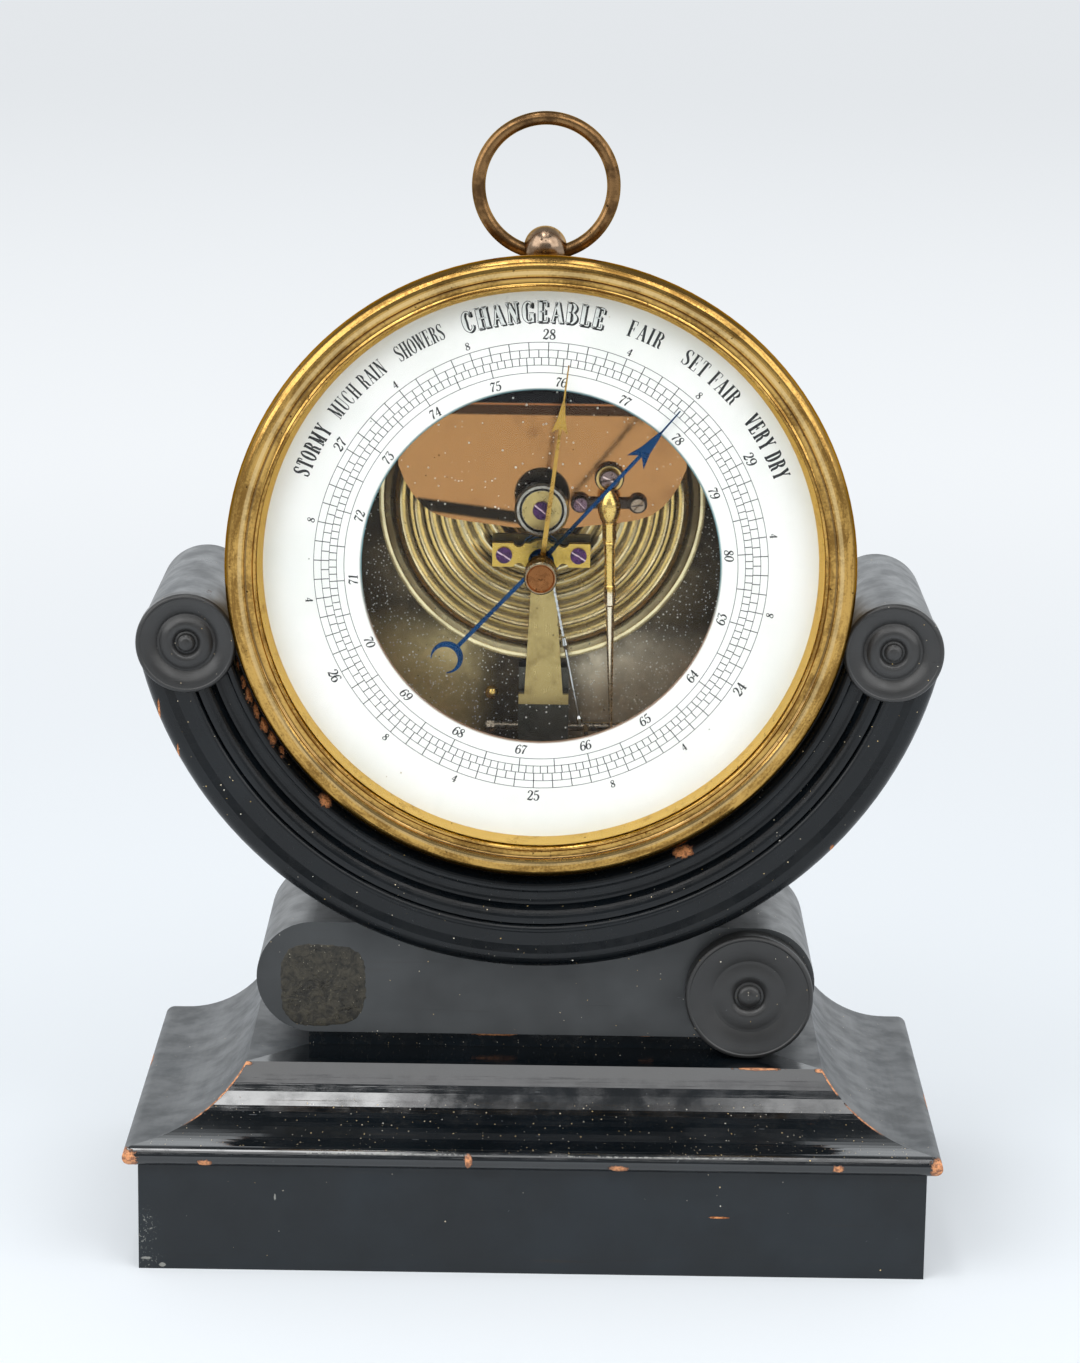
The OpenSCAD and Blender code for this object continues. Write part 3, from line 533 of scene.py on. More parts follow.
@dataclass(frozen=True)
class Metal(Finish):
    """A bare or lacquered metal, mottled by age, with tool marks and dark specks.

    Args:
        light: Colour where it is clean.
        dark: Colour where it is tarnished.
        mottle_mm: Size of the clouds of tarnish.
        tarnish: How far the tarnish takes over, from 0 to 1.
        rough: Roughness where clean.
        rough_more: Roughness added where tarnished.
        stains: Share of the surface's cells that hold a dark spot.
        lines_mm: Width of the tool marks, or 0 for none.
        lines: Stretch of the tool marks along each axis, or none for turned ones.
        relief: Depth of the tool marks in millimetres.
        dust: Share of the surface's cells that hold a pale speck of dust.
        dust_mm: Radius of the largest specks of dust.
        streaky: How far the clouds are drawn out along circles about the dial's axis, or 0.
        edge: Tint where the surface is seen along itself.
        painted: Areas of another colour, each over the ones before.
    """

    light: Colour = (0.6, 0.42, 0.16)
    dark: Colour = (0.25, 0.15, 0.05)
    mottle_mm: float = 6.0
    tarnish: float = 0.5
    rough: float = 0.2
    rough_more: float = 0.2
    stains: float = 0.1
    lines_mm: float = 0.0
    lines: Union[Point, None] = None
    relief: float = 0.002
    dust: float = 0.0
    dust_mm: float = 0.18
    streaky: float = 0.0
    edge: Colour = (0.8, 0.62, 0.38)
    painted: tuple[Union[Disc, Band], ...] = ()

    def _marks(self, g: Graph) -> Socket:
        """Tool marks: noise drawn out along circles about the dial's axis, or along an axis."""
        if self.lines is not None:
            return g.noise(g.mapped(g.place(), self.lines), 1000.0 / self.lines_mm, 2.0)
        radius, across, up = g.polar(DIAL_Z)
        _, y, _ = g.axes(g.place())
        fine = 1000.0 / self.lines_mm
        point = g.combine(
            g.mul(radius, fine),
            g.add(g.mul(y, fine), g.mul(across, 2.0)),
            g.mul(up, 2.0),
        )
        return g.noise(point, 1.0, 2.0)

    def paint(self, g: Graph) -> None:
        """Clean metal under clouds of tarnish, spots, dust and tool marks."""
        here = g.place()
        drawn = here
        if self.streaky:
            radius, across, up = g.polar(DIAL_Z)
            _, y, _ = g.axes(here)
            profile = g.add(radius, g.mul(y, 1.7))
            turn = BEZEL_MIDDLE * MM / self.streaky
            drawn = g.combine(profile, g.mul(across, turn), g.mul(up, turn))
        wide = g.noise(drawn, 1000.0 / self.mottle_mm, 5.0, 0.62, 0.4)
        fine = g.noise(here, 6000.0 / self.mottle_mm, 4.0, 0.6)
        clouds = g.add(g.mul(wide, 0.72), g.mul(fine, 0.28))
        edge = 0.72 - 0.42 * self.tarnish
        aged = g.ramp(clouds, edge - 0.09, edge + 0.1)
        body = g.mix(aged, self.light, self.dark)
        for area in self.painted:
            tone = g.mix(aged, area.colour, tuple(0.7 * v for v in area.colour))
            body = g.mix(area.mask(g), body, tone)
        spots, _ = g.specks(here, 0.9, 0.22, self.stains)
        spots = g.mul(spots, g.ramp(fine, 0.42, 0.55))
        body = g.mix(g.mul(spots, 0.8), body, (0.04, 0.025, 0.012))
        rough = g.add(g.mul(aged, self.rough_more), self.rough)
        rough = g.add(rough, g.ramp(fine, 0.3, 0.7, -0.03, 0.04))
        rough = g.add(rough, g.mul(spots, 0.3))
        normal = g.bump(fine, 0.0012 * self.mottle_mm)
        if self.lines_mm:
            marks = self._marks(g)
            normal = g.bump(marks, self.relief, normal)
            rough = g.add(rough, g.ramp(marks, 0.3, 0.7, -0.04, 0.05))
        inputs: dict[str, Value] = {"Metallic": 1.0, "Specular_Tint": self.edge}
        if self.dust:
            dust, _ = g.specks(here, 0.7, self.dust_mm, self.dust)
            body = g.mix(dust, body, (0.85, 0.83, 0.78))
            inputs["Metallic"] = g.sub(1.0, g.mul(dust, 0.45))
            rough = g.add(rough, g.mul(dust, 0.3))
        g.end(g.shader(Base_Color=body, Roughness=rough, Normal=normal, **inputs))


@dataclass(frozen=True)
class CapsuleMetal(Finish):
    """Gilt vacuum capsule: ridges painted bright as painted highlights, valleys painted dark as
    painted shade.

    Args:
        centre_z: Height of the capsule's axis in millimetres.
        inner: Radius where the corrugations start.
        outer: Radius where they end.
        rings: Number of corrugations.
    """

    centre_z: float = CAPSULE_Z
    inner: float = 6.7
    outer: float = 31.4
    rings: int = 8

    def paint(self, g: Graph) -> None:
        """Painted shade follows the corrugation: half of one minus its cosine wave."""
        here = g.place()
        radius, across, up = g.polar(self.centre_z)
        turn = 2 * math.pi * self.rings / ((self.outer - self.inner) * MM)
        phase = g.mul(g.sub(radius, self.inner * MM), turn)
        valley_shade = g.add(g.mul(g.math("COSINE", phase), 0.5), 0.5)
        wander = g.noise(here, 220.0, 4.0, 0.6)
        valley_shade = g.add(valley_shade, g.mul(g.sub(wander, 0.5), 0.5))
        # Painted highlight on the ridges, painted shade in the valleys.
        body = g.mix(g.ramp(valley_shade, 0.55, 0.96), (1.0, 0.84, 0.5), (0.24, 0.175, 0.08))
        spots, _ = g.specks(here, 0.8, 0.16, 0.22)
        body = g.mix(g.mul(spots, 0.7), body, (0.05, 0.035, 0.015))
        dust, _ = g.specks(here, 0.8, 0.09, 0.2)
        body = g.mix(dust, body, (0.55, 0.52, 0.45))
        rough = g.add(g.ramp(wander, 0.3, 0.7, 0.2, 0.3), g.mul(dust, 0.5))
        streaks = g.combine(g.mul(radius, 5200.0), across, up)
        normal = g.bump(g.noise(streaks, 1.0, 2.0), 0.003)
        g.end(g.shader(Base_Color=body, Roughness=rough, Metallic=1.0, Normal=normal))


@dataclass(frozen=True)
class DialWhite(Finish):
    """White dial: faint clouding, a warm rim, an inner edge painted teal towards the top as a
    painted reflection and brown below, and a few specks.

    Args:
        opening: Radius of the dial's opening in millimetres.
        outer: Radius where the dial meets the bezel.
    """

    opening: float = 37.0
    outer: float = 58.0

    def paint(self, g: Graph) -> None:
        """White with clouds, warmer towards the rim, and pin-prick specks."""
        here = g.place()
        radius, _, _ = g.polar(DIAL_Z)
        clouds = g.noise(here, 60.0, 4.0)
        body = g.mix(g.ramp(clouds, 0.4, 0.7, 0.0, 0.5), (0.92, 0.89, 0.87), (0.88, 0.86, 0.825))
        rim = g.ramp(radius, (self.outer - 7) * MM, self.outer * MM, 0.0, 0.45)
        body = g.mix(rim, body, (0.78, 0.75, 0.66))
        # The opening's edge: a teal painted reflection towards the top, brown towards the bottom.
        edge = g.ramp(radius, (self.opening + 0.05) * MM, (self.opening + 0.5) * MM, 1.0, 0.0)
        _, _, height = g.axes(here)
        tint = g.mix(g.ramp(height, 130 * MM, 150 * MM), (0.2, 0.1, 0.05), (0.1, 0.25, 0.28))
        body = g.mix(edge, body, tint)
        specks, hue = g.specks(here, 3.2, 0.16, 0.13)
        grime = g.mix(hue, (0.16, 0.15, 0.14), (0.4, 0.28, 0.1))
        body = g.mix(g.mul(specks, 0.75), body, grime)
        rough = g.ramp(g.noise(here, 300.0, 3.0), 0.3, 0.7, 0.3, 0.42)
        normal = g.bump(g.noise(here, 420.0, 3.0), 0.004)
        g.end(g.shader(Base_Color=body, Roughness=rough, Normal=normal))


@dataclass(frozen=True)
class Ink(Finish):
    """Printed black, a little uneven where it lies thin."""

    thin: float = 0.25
    body: Colour = (0.012, 0.012, 0.013)
    pale: Colour = (0.2, 0.2, 0.2)

    def paint(self, g: Graph) -> None:
        """Dark ink that lets the ground through in small patches."""
        patches = g.noise(g.place(), 1900.0, 3.0, 0.6)
        low = 0.66 - 0.3 * self.thin
        body = g.mix(g.ramp(patches, low, low + 0.2, 0.0, 0.8), self.body, self.pale)
        rough = g.ramp(patches, 0.3, 0.7, 0.4, 0.55)
        g.end(g.shader(Base_Color=body, Roughness=rough))


@dataclass(frozen=True)
class ClearGlass(Finish):
    """Flat glass that lets lamplight through unbent, with a trace of dust."""

    def paint(self, g: Graph) -> None:
        """Clear dielectric; for shadow rays it is simply see-through."""
        here = g.place()
        smear = g.noise(here, 38.0, 4.0, 0.6)
        clear = g.shader(
            Base_Color=g.mix(g.ramp(smear, 0.4, 0.7), (0.97, 0.99, 0.985), (0.93, 0.96, 0.95)),
            Roughness=g.ramp(smear, 0.45, 0.8, 0.0, 0.03),
            Transmission_Weight=1.0,
            IOR=1.2,
        )
        through = g.shader("BsdfTransparent", Color=(0.96, 0.97, 0.965))
        shadow = g.node("ShaderNodeLightPath").outputs["Is Shadow Ray"]
        g.end(g.blend(shadow, clear, through))


@dataclass(frozen=True)
class GlueScar(Finish):
    """Old hide glue on the block: brown-black crust with shiny crumbs."""

    def paint(self, g: Graph) -> None:
        """Mottled crust, glossier on its crumbs."""
        here = g.place()
        crust = g.noise(here, 420.0, 5.0, 0.7, 1.0)
        grit = g.noise(here, 1500.0, 4.0, 0.7)
        body = g.mix(g.ramp(crust, 0.35, 0.65), (0.014, 0.013, 0.01), (0.05, 0.043, 0.028))
        body = g.mix(g.ramp(grit, 0.62, 0.74, 0.0, 0.7), body, (0.3, 0.26, 0.16))
        specks, _ = g.specks(here, 0.75, 0.1, 0.3)
        body = g.mix(specks, body, (0.55, 0.5, 0.38))
        rough = g.ramp(crust, 0.35, 0.7, 0.62, 0.3)
        normal = g.bump(grit, 0.12, g.bump(crust, 0.2))
        g.end(g.shader(Base_Color=body, Roughness=rough, Normal=normal))


def dress(nodes: str, finish: Finish) -> None:
    """Puts one finish on whole CAD nodes, in every material slot that they have.

    Args:
        nodes: Names of CAD nodes, with spaces between them.
        finish: The finish to put on.
    """
    made = finish.material()
    for name in nodes.split():
        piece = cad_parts[name]
        if not piece.data.materials:
            piece.data.materials.append(made)
        for slot in range(len(piece.data.materials)):
            piece.data.materials[slot] = made
    LOG.info("%s on %s", finish.name, nodes)


# ------------------------------------------------------------------------------ meshes


def add_piece(
    name: str, points: Array, faces: Array, finish: Finish, body: str,
    smooth: bool = False,
) -> None:
    """Makes a mesh object from arrays, dresses it and lets it ride on a body.

    Args:
        name: Name of the piece.
        points: Corners in millimetres, one row each.
        faces: Corner numbers of the four-sided or three-sided faces, one row each.
        finish: The finish that it wears.
        body: CAD body that carries it.
        smooth: Whether faces are shaded smoothly.
    """
    mesh = bpy.data.meshes.new(name)
    corners = np.asarray(points, dtype=np.float32).reshape(-1, 3) * np.float32(MM)
    loops = np.asarray(faces, dtype=np.int32)
    mesh.vertices.add(len(corners))
    mesh.vertices.foreach_set("co", corners.ravel())
    mesh.loops.add(loops.size)
    mesh.loops.foreach_set("vertex_index", loops.ravel())
    mesh.polygons.add(len(loops))
    mesh.polygons.foreach_set("loop_start", np.arange(len(loops), dtype=np.int32) * loops.shape[1])
    mesh.polygons.foreach_set("use_smooth", np.full(len(loops), smooth))
    mesh.update(calc_edges=True)
    mesh.validate()
    piece = bpy.data.objects.new(name, mesh)
    bpy.context.scene.collection.objects.link(piece)
    mesh.materials.append(finish.material())
    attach(piece, body)
    LOG.info("%s: %d corners, %d faces", name, len(corners), len(loops))


def joined(parts: Sequence[tuple[Array, Array]]) -> tuple[Array, Array]:
    """Several meshes as one: corners stacked, face numbers moved up by what came before.

    Args:
        parts: Pairs of corners and faces.

    Returns:
        All corners and all faces.
    """
    counts = np.cumsum([0] + [len(points) for points, _ in parts[:-1]])
    points = np.concatenate([points for points, _ in parts])
    faces = np.concatenate([faces + start for (_, faces), start in zip(parts, counts)])
    return points, faces


# ---------------------------------------------------------------------------- printing

# Signs are drawn in hundredths of a capital's height; these are the pen's two widths.
THICK, FINE = 15.5, 4.2


@dataclass(frozen=True)
class Stroke:
    """One stroke of the engraver's pen, in hundredths of a capital's height.

    Args:
        points: Middle line as rows of x, y and the width there.
        curved: Whether the middle line is a smooth curve through the points.
        closed: Whether it runs round to its start.
    """

    points: tuple[Point, ...]
    curved: bool = False
    closed: bool = False

    def path(self, steps: int = 5) -> Array:
        """The middle line, finely divided.

        A curved stroke is a Catmull-Rom curve: between two points a and b with
        neighbours p and q it is half of 2a + (b - p)t + (2p - 5a + 4b - q)tt +
        (3a - p - 3b + q)ttt, with t from 0 to 1. The width follows the same rule.

        Args:
            steps: Divisions between two given points.

        Returns:
            Rows of x, y and width, in heights of a capital.
        """
        rows = np.array(self.points, dtype=float) / 100
        if not self.curved:
            return rows
        if self.closed:
            ring = np.concatenate([rows[-1:], rows, rows[:2]])
        else:
            ring = np.concatenate([2 * rows[:1] - rows[1:2], rows, 2 * rows[-1:] - rows[-2:-1]])
        p, a, b, q = (ring[i : len(ring) - 3 + i, None, :] for i in range(4))
        t = (np.arange(steps) / steps)[None, :, None]
        curve = 0.5 * (
            2 * a
            + (b - p) * t
            + (2 * p - 5 * a + 4 * b - q) * t**2
            + (3 * a - p - 3 * b + q) * t**3
        )
        curve = curve.reshape(-1, 3)
        if not self.closed:
            curve = np.concatenate([curve, rows[-1:]])
        curve[:, 2] = np.clip(curve[:, 2], 0.025, None)
        return curve


def line(x0: float, y0: float, x1: float, y1: float, width: float = FINE) -> Stroke:
    """A straight stroke of even width."""
    return Stroke(((x0, y0, width), (x1, y1, width)))


def curve(*numbers: float, closed: bool = False) -> Stroke:
    """A smooth stroke through points, each given as x, y and width."""
    return Stroke(tuple(zip(numbers[::3], numbers[1::3], numbers[2::3])), True, closed)


def loop(*numbers: float) -> Stroke:
    """A smooth stroke that runs round to its start."""
    return curve(*numbers, closed=True)


def serif(x: float, y: float, half: float = 13) -> Stroke:
    """A hairline across the end of a stroke."""
    return line(x - half, y, x + half, y)


def stem(x: float) -> tuple[Stroke, ...]:
    """An upright stroke with a hairline foot and head."""
    return line(x, 0, x, 100, THICK), serif(x, 1.6), serif(x, 98.4)


def half_turned(*numbers: float) -> Stroke:
    """A smooth stroke turned by half a turn about the middle of a sign 60 wide."""
    turned = [(60 - x, 100 - y, w) for x, y, w in zip(numbers[::3], numbers[1::3], numbers[2::3])]
    return curve(*sum(turned, ()))


# Curves that several signs share.
SIX = (
    50, 86, 12, 42, 97, 6, 30, 98.5, FINE, 12, 80, 11, 5, 45, THICK, 10, 14, 12, 30, 1, FINE,
    50, 14, 12, 54, 32, THICK, 46, 52, 10, 30, 59, FINE, 14, 48, 5, 7, 34, FINE,
)
BOWL = (52, 32, THICK, 44, 8, 10, 26, 1.2, FINE, 11, 7, 7, 9, 20, 13)
ROUND = (22, 98.5, FINE, 8, 82, 10, 5.5, 50, THICK, 8, 18, 10, 22, 1.5, FINE)

# Width of each sign and its strokes.
SIGNS: dict[str, tuple[float, tuple[Stroke, ...]]] = {
    "0": (66, (loop(30, 98.5, FINE, 50, 80, 11, 55, 50, THICK, 50, 20, 11, 30, 1.5, FINE, 10, 20,
        11, 5, 50, THICK, 10, 80, 11),)),
    "1": (50, (line(27, 0, 27, 98, THICK), line(27, 96, 10, 80), serif(27, 1.6, 18))),
    "2": (68, (curve(11, 74, 14, 13, 90, 7, 30, 98.5, FINE, 48, 88, 12, 50, 70, THICK, 36, 42, 10,
        14, 18, 6, 5, 5, FINE), curve(5, 6, FINE, 20, 9, 12, 40, 6, 14, 54, 12, 6, 57, 27, FINE))),
    "3": (64, (line(9, 96.5, 53, 96.5, 6), line(53, 96.5, 27, 59), line(9, 97, 7, 82),
        curve(25, 59, FINE, 43, 55, 11, *BOWL))),
    "4": (68, (line(42, 98, 3, 30), line(2, 29, 61, 29), line(42, 0, 42, 98, THICK),
        serif(42, 1.6, 16))),
    "5": (64, (curve(12, 97, 5, 28, 94, 12, 50, 99, FINE), line(12, 97, 10, 55),
        curve(10, 54, FINE, 28, 61, 5, 46, 52, 12, *BOWL))),
    "6": (66, (curve(*SIX),)),
    "7": (62, (curve(5, 76, FINE, 8, 92, 6, 22, 96, 13, 40, 91, 12, 55, 98, FINE),
        curve(55, 97, FINE, 40, 66, 6, 27, 36, 13, 23, 2, THICK))),
    "8": (66, (loop(30, 98.5, FINE, 12, 88, 9, 11, 70, 13, 30, 53, 15, 51, 34, 15, 51, 12, 10, 30,
        1.5, FINE, 9, 12, 9, 9, 33, 8, 30, 54, FINE, 47, 70, 7, 46, 88, 7),)),
    "9": (66, (half_turned(*SIX),)),
    "A": (52, (line(22, 99, 4, 2, 5), line(22, 99, 42, 2, THICK), line(10, 33, 35, 33),
        serif(4, 1.6, 9), serif(42, 1.6, 11))),
    "B": (52, (*stem(10), curve(10, 98, FINE, 27, 96, 6, 36, 77, 13, 26, 55, 6, 10, 53, FINE),
        curve(10, 53, FINE, 30, 50, 6, 41, 27, THICK, 30, 4, 6, 10, 2, FINE))),
    "C": (50, (curve(40, 70, FINE, 38, 88, 7, *ROUND, 37, 12, 5, 41, 30, FINE),
        line(40, 98, 40, 70))),
    "D": (52, (*stem(10), curve(10, 98, FINE, 26, 96, 6, 38, 80, 12, 41, 50, THICK, 38, 20, 12, 26,
        4, 6, 10, 2, FINE))),
    "E": (50, (*stem(10), line(10, 98.4, 40, 98.4), line(40, 98, 40, 76), line(10, 50, 30, 50),
        line(30, 62, 30, 38), line(10, 1.6, 42, 1.6), line(42, 2, 42, 25))),
    "F": (47, (*stem(10), line(10, 98.4, 40, 98.4), line(40, 98, 40, 76), line(10, 50, 30, 50),
        line(30, 62, 30, 38))),
    "G": (54, (curve(40, 70, FINE, 38, 88, 7, *ROUND, 34, 8, 5, 39, 20, FINE), line(40, 98, 40, 70),
        line(40, 0, 40, 42, THICK), serif(40, 42, 11))),
    "H": (58, (*stem(10), *stem(43), line(10, 50, 43, 50))),
    "I": (28, stem(12)),
    "L": (46, (*stem(10), line(10, 1.6, 40, 1.6), line(40, 2, 40, 26))),
    "M": (68, (line(8, 0, 8, 99, 5), line(9, 99, 29, 6, THICK), line(29, 6, 50, 99), *stem(51),
        serif(8, 1.6, 9), serif(6, 98.4, 10))),
    "N": (56, (line(8, 0, 8, 99, 4.5), line(7, 99, 43, 2, THICK), line(43, 0, 43, 99),
        serif(8, 1.6, 10), serif(5, 98.4, 10), serif(43, 98.4, 10))),
    "O": (52, (loop(24, 98.5, FINE, 40, 80, 11, 43, 50, THICK, 40, 20, 11, 24, 1.5, FINE, 8, 20, 11,
        5, 50, THICK, 8, 80, 11),)),
    "R": (54, (*stem(10), curve(10, 98, FINE, 28, 96, 6, 38, 76, THICK, 28, 55, 6, 10, 53, FINE),
        curve(25, 53, 6, 35, 38, 13, 37, 10, 12, 47, 3, FINE))),
    "S": (50, (curve(40, 74, FINE, 37, 90, 6, 22, 98.5, FINE, 8, 85, 11, 10, 65, THICK, 33, 40,
        THICK, 39, 18, 12, 24, 1.5, FINE, 8, 10, 6, 5, 28, FINE), line(40, 98, 40, 74),
        line(5, 2, 5, 28))),
    "T": (50, (line(23, 0, 23, 98, THICK), serif(23, 1.6), line(2, 98.4, 44, 98.4),
        line(2, 98, 2, 74), line(44, 98, 44, 74))),
    "U": (54, (curve(10, 99, THICK, 10, 30, THICK, 14, 8, 11, 25, 1.5, 5, 38, 12, 5, 41, 35, FINE,
        41, 99, FINE), serif(10, 98.4), serif(41, 98.4, 9))),
    "V": (50, (line(6, 99, 24, 2, THICK), line(42, 99, 24, 2), serif(6, 98.4, 11),
        serif(42, 98.4, 9))),
    "W": (74, (line(5, 99, 20, 2, THICK), line(36, 99, 20, 2), line(36, 99, 51, 2, THICK),
        line(67, 99, 51, 2), serif(5, 98.4, 11), serif(36, 98.4, 8), serif(67, 98.4, 9))),
    "Y": (50, (line(6, 99, 24, 48, THICK), line(42, 99, 24, 48), line(24, 0, 24, 50, THICK),
        serif(24, 1.6), serif(6, 98.4, 11), serif(42, 98.4, 9))),
    " ": (30, ()),
}


def ribbon(path: Array, low: float, high: float, closed: bool = False) -> tuple[Array, Array]:
    """A flat band along a path, as a closed solid lying face-on to the dial.

    Each row of the path gives four corners: the point plus and minus half the width
    across the path's direction, at the high and at the low face.

    Args:
        path: Rows of x, y and width.
        low: Height of the band's underside.
        high: Height of its face.
        closed: Whether the band runs round to its start.

    Returns:
        Corners as x to the right, y up, z towards the viewer, and four-sided faces.
    """
    middle, width = path[:, :2], path[:, 2:3]
    if closed:
        along = np.roll(middle, -1, axis=0) - np.roll(middle, 1, axis=0)
    else:
        along = np.gradient(middle, axis=0)
    along /= np.linalg.norm(along, axis=1, keepdims=True)
    across = np.stack([-along[:, 1], along[:, 0]], axis=1) * width / 2
    right, left = middle - across, middle + across
    top, foot = np.full((len(path), 1), high), np.full((len(path), 1), low)
    edges = ((right, top), (left, top), (left, foot), (right, foot))
    corners = np.stack([np.hstack(edge) for edge in edges], axis=1).reshape(-1, 3)
    count = len(path)
    ring = np.arange(count if closed else count - 1)[:, None]
    side = np.arange(4)[None, :]
    here, after = 4 * ring, 4 * ((ring + 1) % count)
    turn = (side + 1) % 4
    faces = np.stack([here + side, after + side, after + turn, here + turn], axis=2).reshape(-1, 4)
    if not closed:
        end = 4 * (count - 1)
        faces = np.concatenate([faces, [[0, 1, 2, 3], [end + 3, end + 2, end + 1, end]]])
    return corners, faces


def face_on(points: Array) -> Array:
    """Corners drawn face-on to the dial, put in the model: x stays, up is z, front is -y."""
    return np.stack([points[:, 0], DIAL_Y - points[:, 2], DIAL_Z + points[:, 1]], axis=1)


@dataclass(frozen=True)
class Lettering:
    """A size and cut of lettering that is set along circles of the dial.

    Args:
        height: Height of a capital in millimetres.
        squeeze: Width of the signs against their drawn width.
        lean: How far the signs lean forward, as a share of the height.
        heavier: Extra width of every stroke, in heights.
        low: Height of the ink's underside over the dial.
        high: Height of the ink's face over the dial.
        shift: Move of the whole word to the right and up, in heights.
    """

    height: float
    squeeze: float = 1.0
    lean: float = 0.0
    heavier: float = 0.0
    low: float = INK_LOW
    high: float = INK_HIGH
    shift: tuple[float, float] = (0.0, 0.0)

    def set_word(
        self, text: str, start: float, end: Union[float, None], radius: float
    ) -> list[tuple[Array, Array]]:
        """Sets a word on a circle; below the middle it is turned to read upright.

        Every sign is turned about the dial's centre to its own angle, clockwise from the
        top, with its foot on the circle of the given radius.

        Args:
            text: The signs.
            start: Angle in degrees where the word starts, or of its middle.
            end: Angle where it ends, or None to centre it on start unstretched.
            radius: Radius of the signs' feet, or of their middles when centred.

        Returns:
            The signs' meshes, face-on.
        """
        wide = [SIGNS[sign][0] / 100 * self.squeeze * self.height for sign in text]
        total = sum(wide) - 0.1 * self.squeeze * self.height
        gap = 0.05 * self.height
        upside = end is None and abs((start + 180) % 360 - 180) > 95
        stretch = 1.0
        if end is None:
            radius += self.height * (0.5 if upside else -0.5)
            half = math.degrees(total / 2 / radius)
            start = start + half if upside else start - half
        else:
            stretch = math.radians(end - start) * radius / total
        parts: list[tuple[Array, Array]] = []
        done = 0.0
        for sign, width in zip(text, wide):
            middle = (done + width / 2 - gap) * stretch
            angle = math.radians(start) + (-middle if upside else middle) / radius
            for stroke in SIGNS[sign][1]:
                path = stroke.path() + np.array([0.0, 0.0, self.heavier])
                points, faces = ribbon(path, self.low, self.high, stroke.closed)
                x = points[:, 0] + self.lean * (points[:, 1] - 0.5) + self.shift[0]
                x = x * self.height * self.squeeze - (width / 2 - gap)
                y = (points[:, 1] + self.shift[1]) * self.height
                if upside:
                    x, y = -x, radius - y
                else:
                    y = y + radius
                across = x * math.cos(angle) + y * math.sin(angle)
                up = y * math.cos(angle) - x * math.sin(angle)
                parts.append((np.stack([across, up, points[:, 2]], axis=1), faces))
            done += width
        return parts


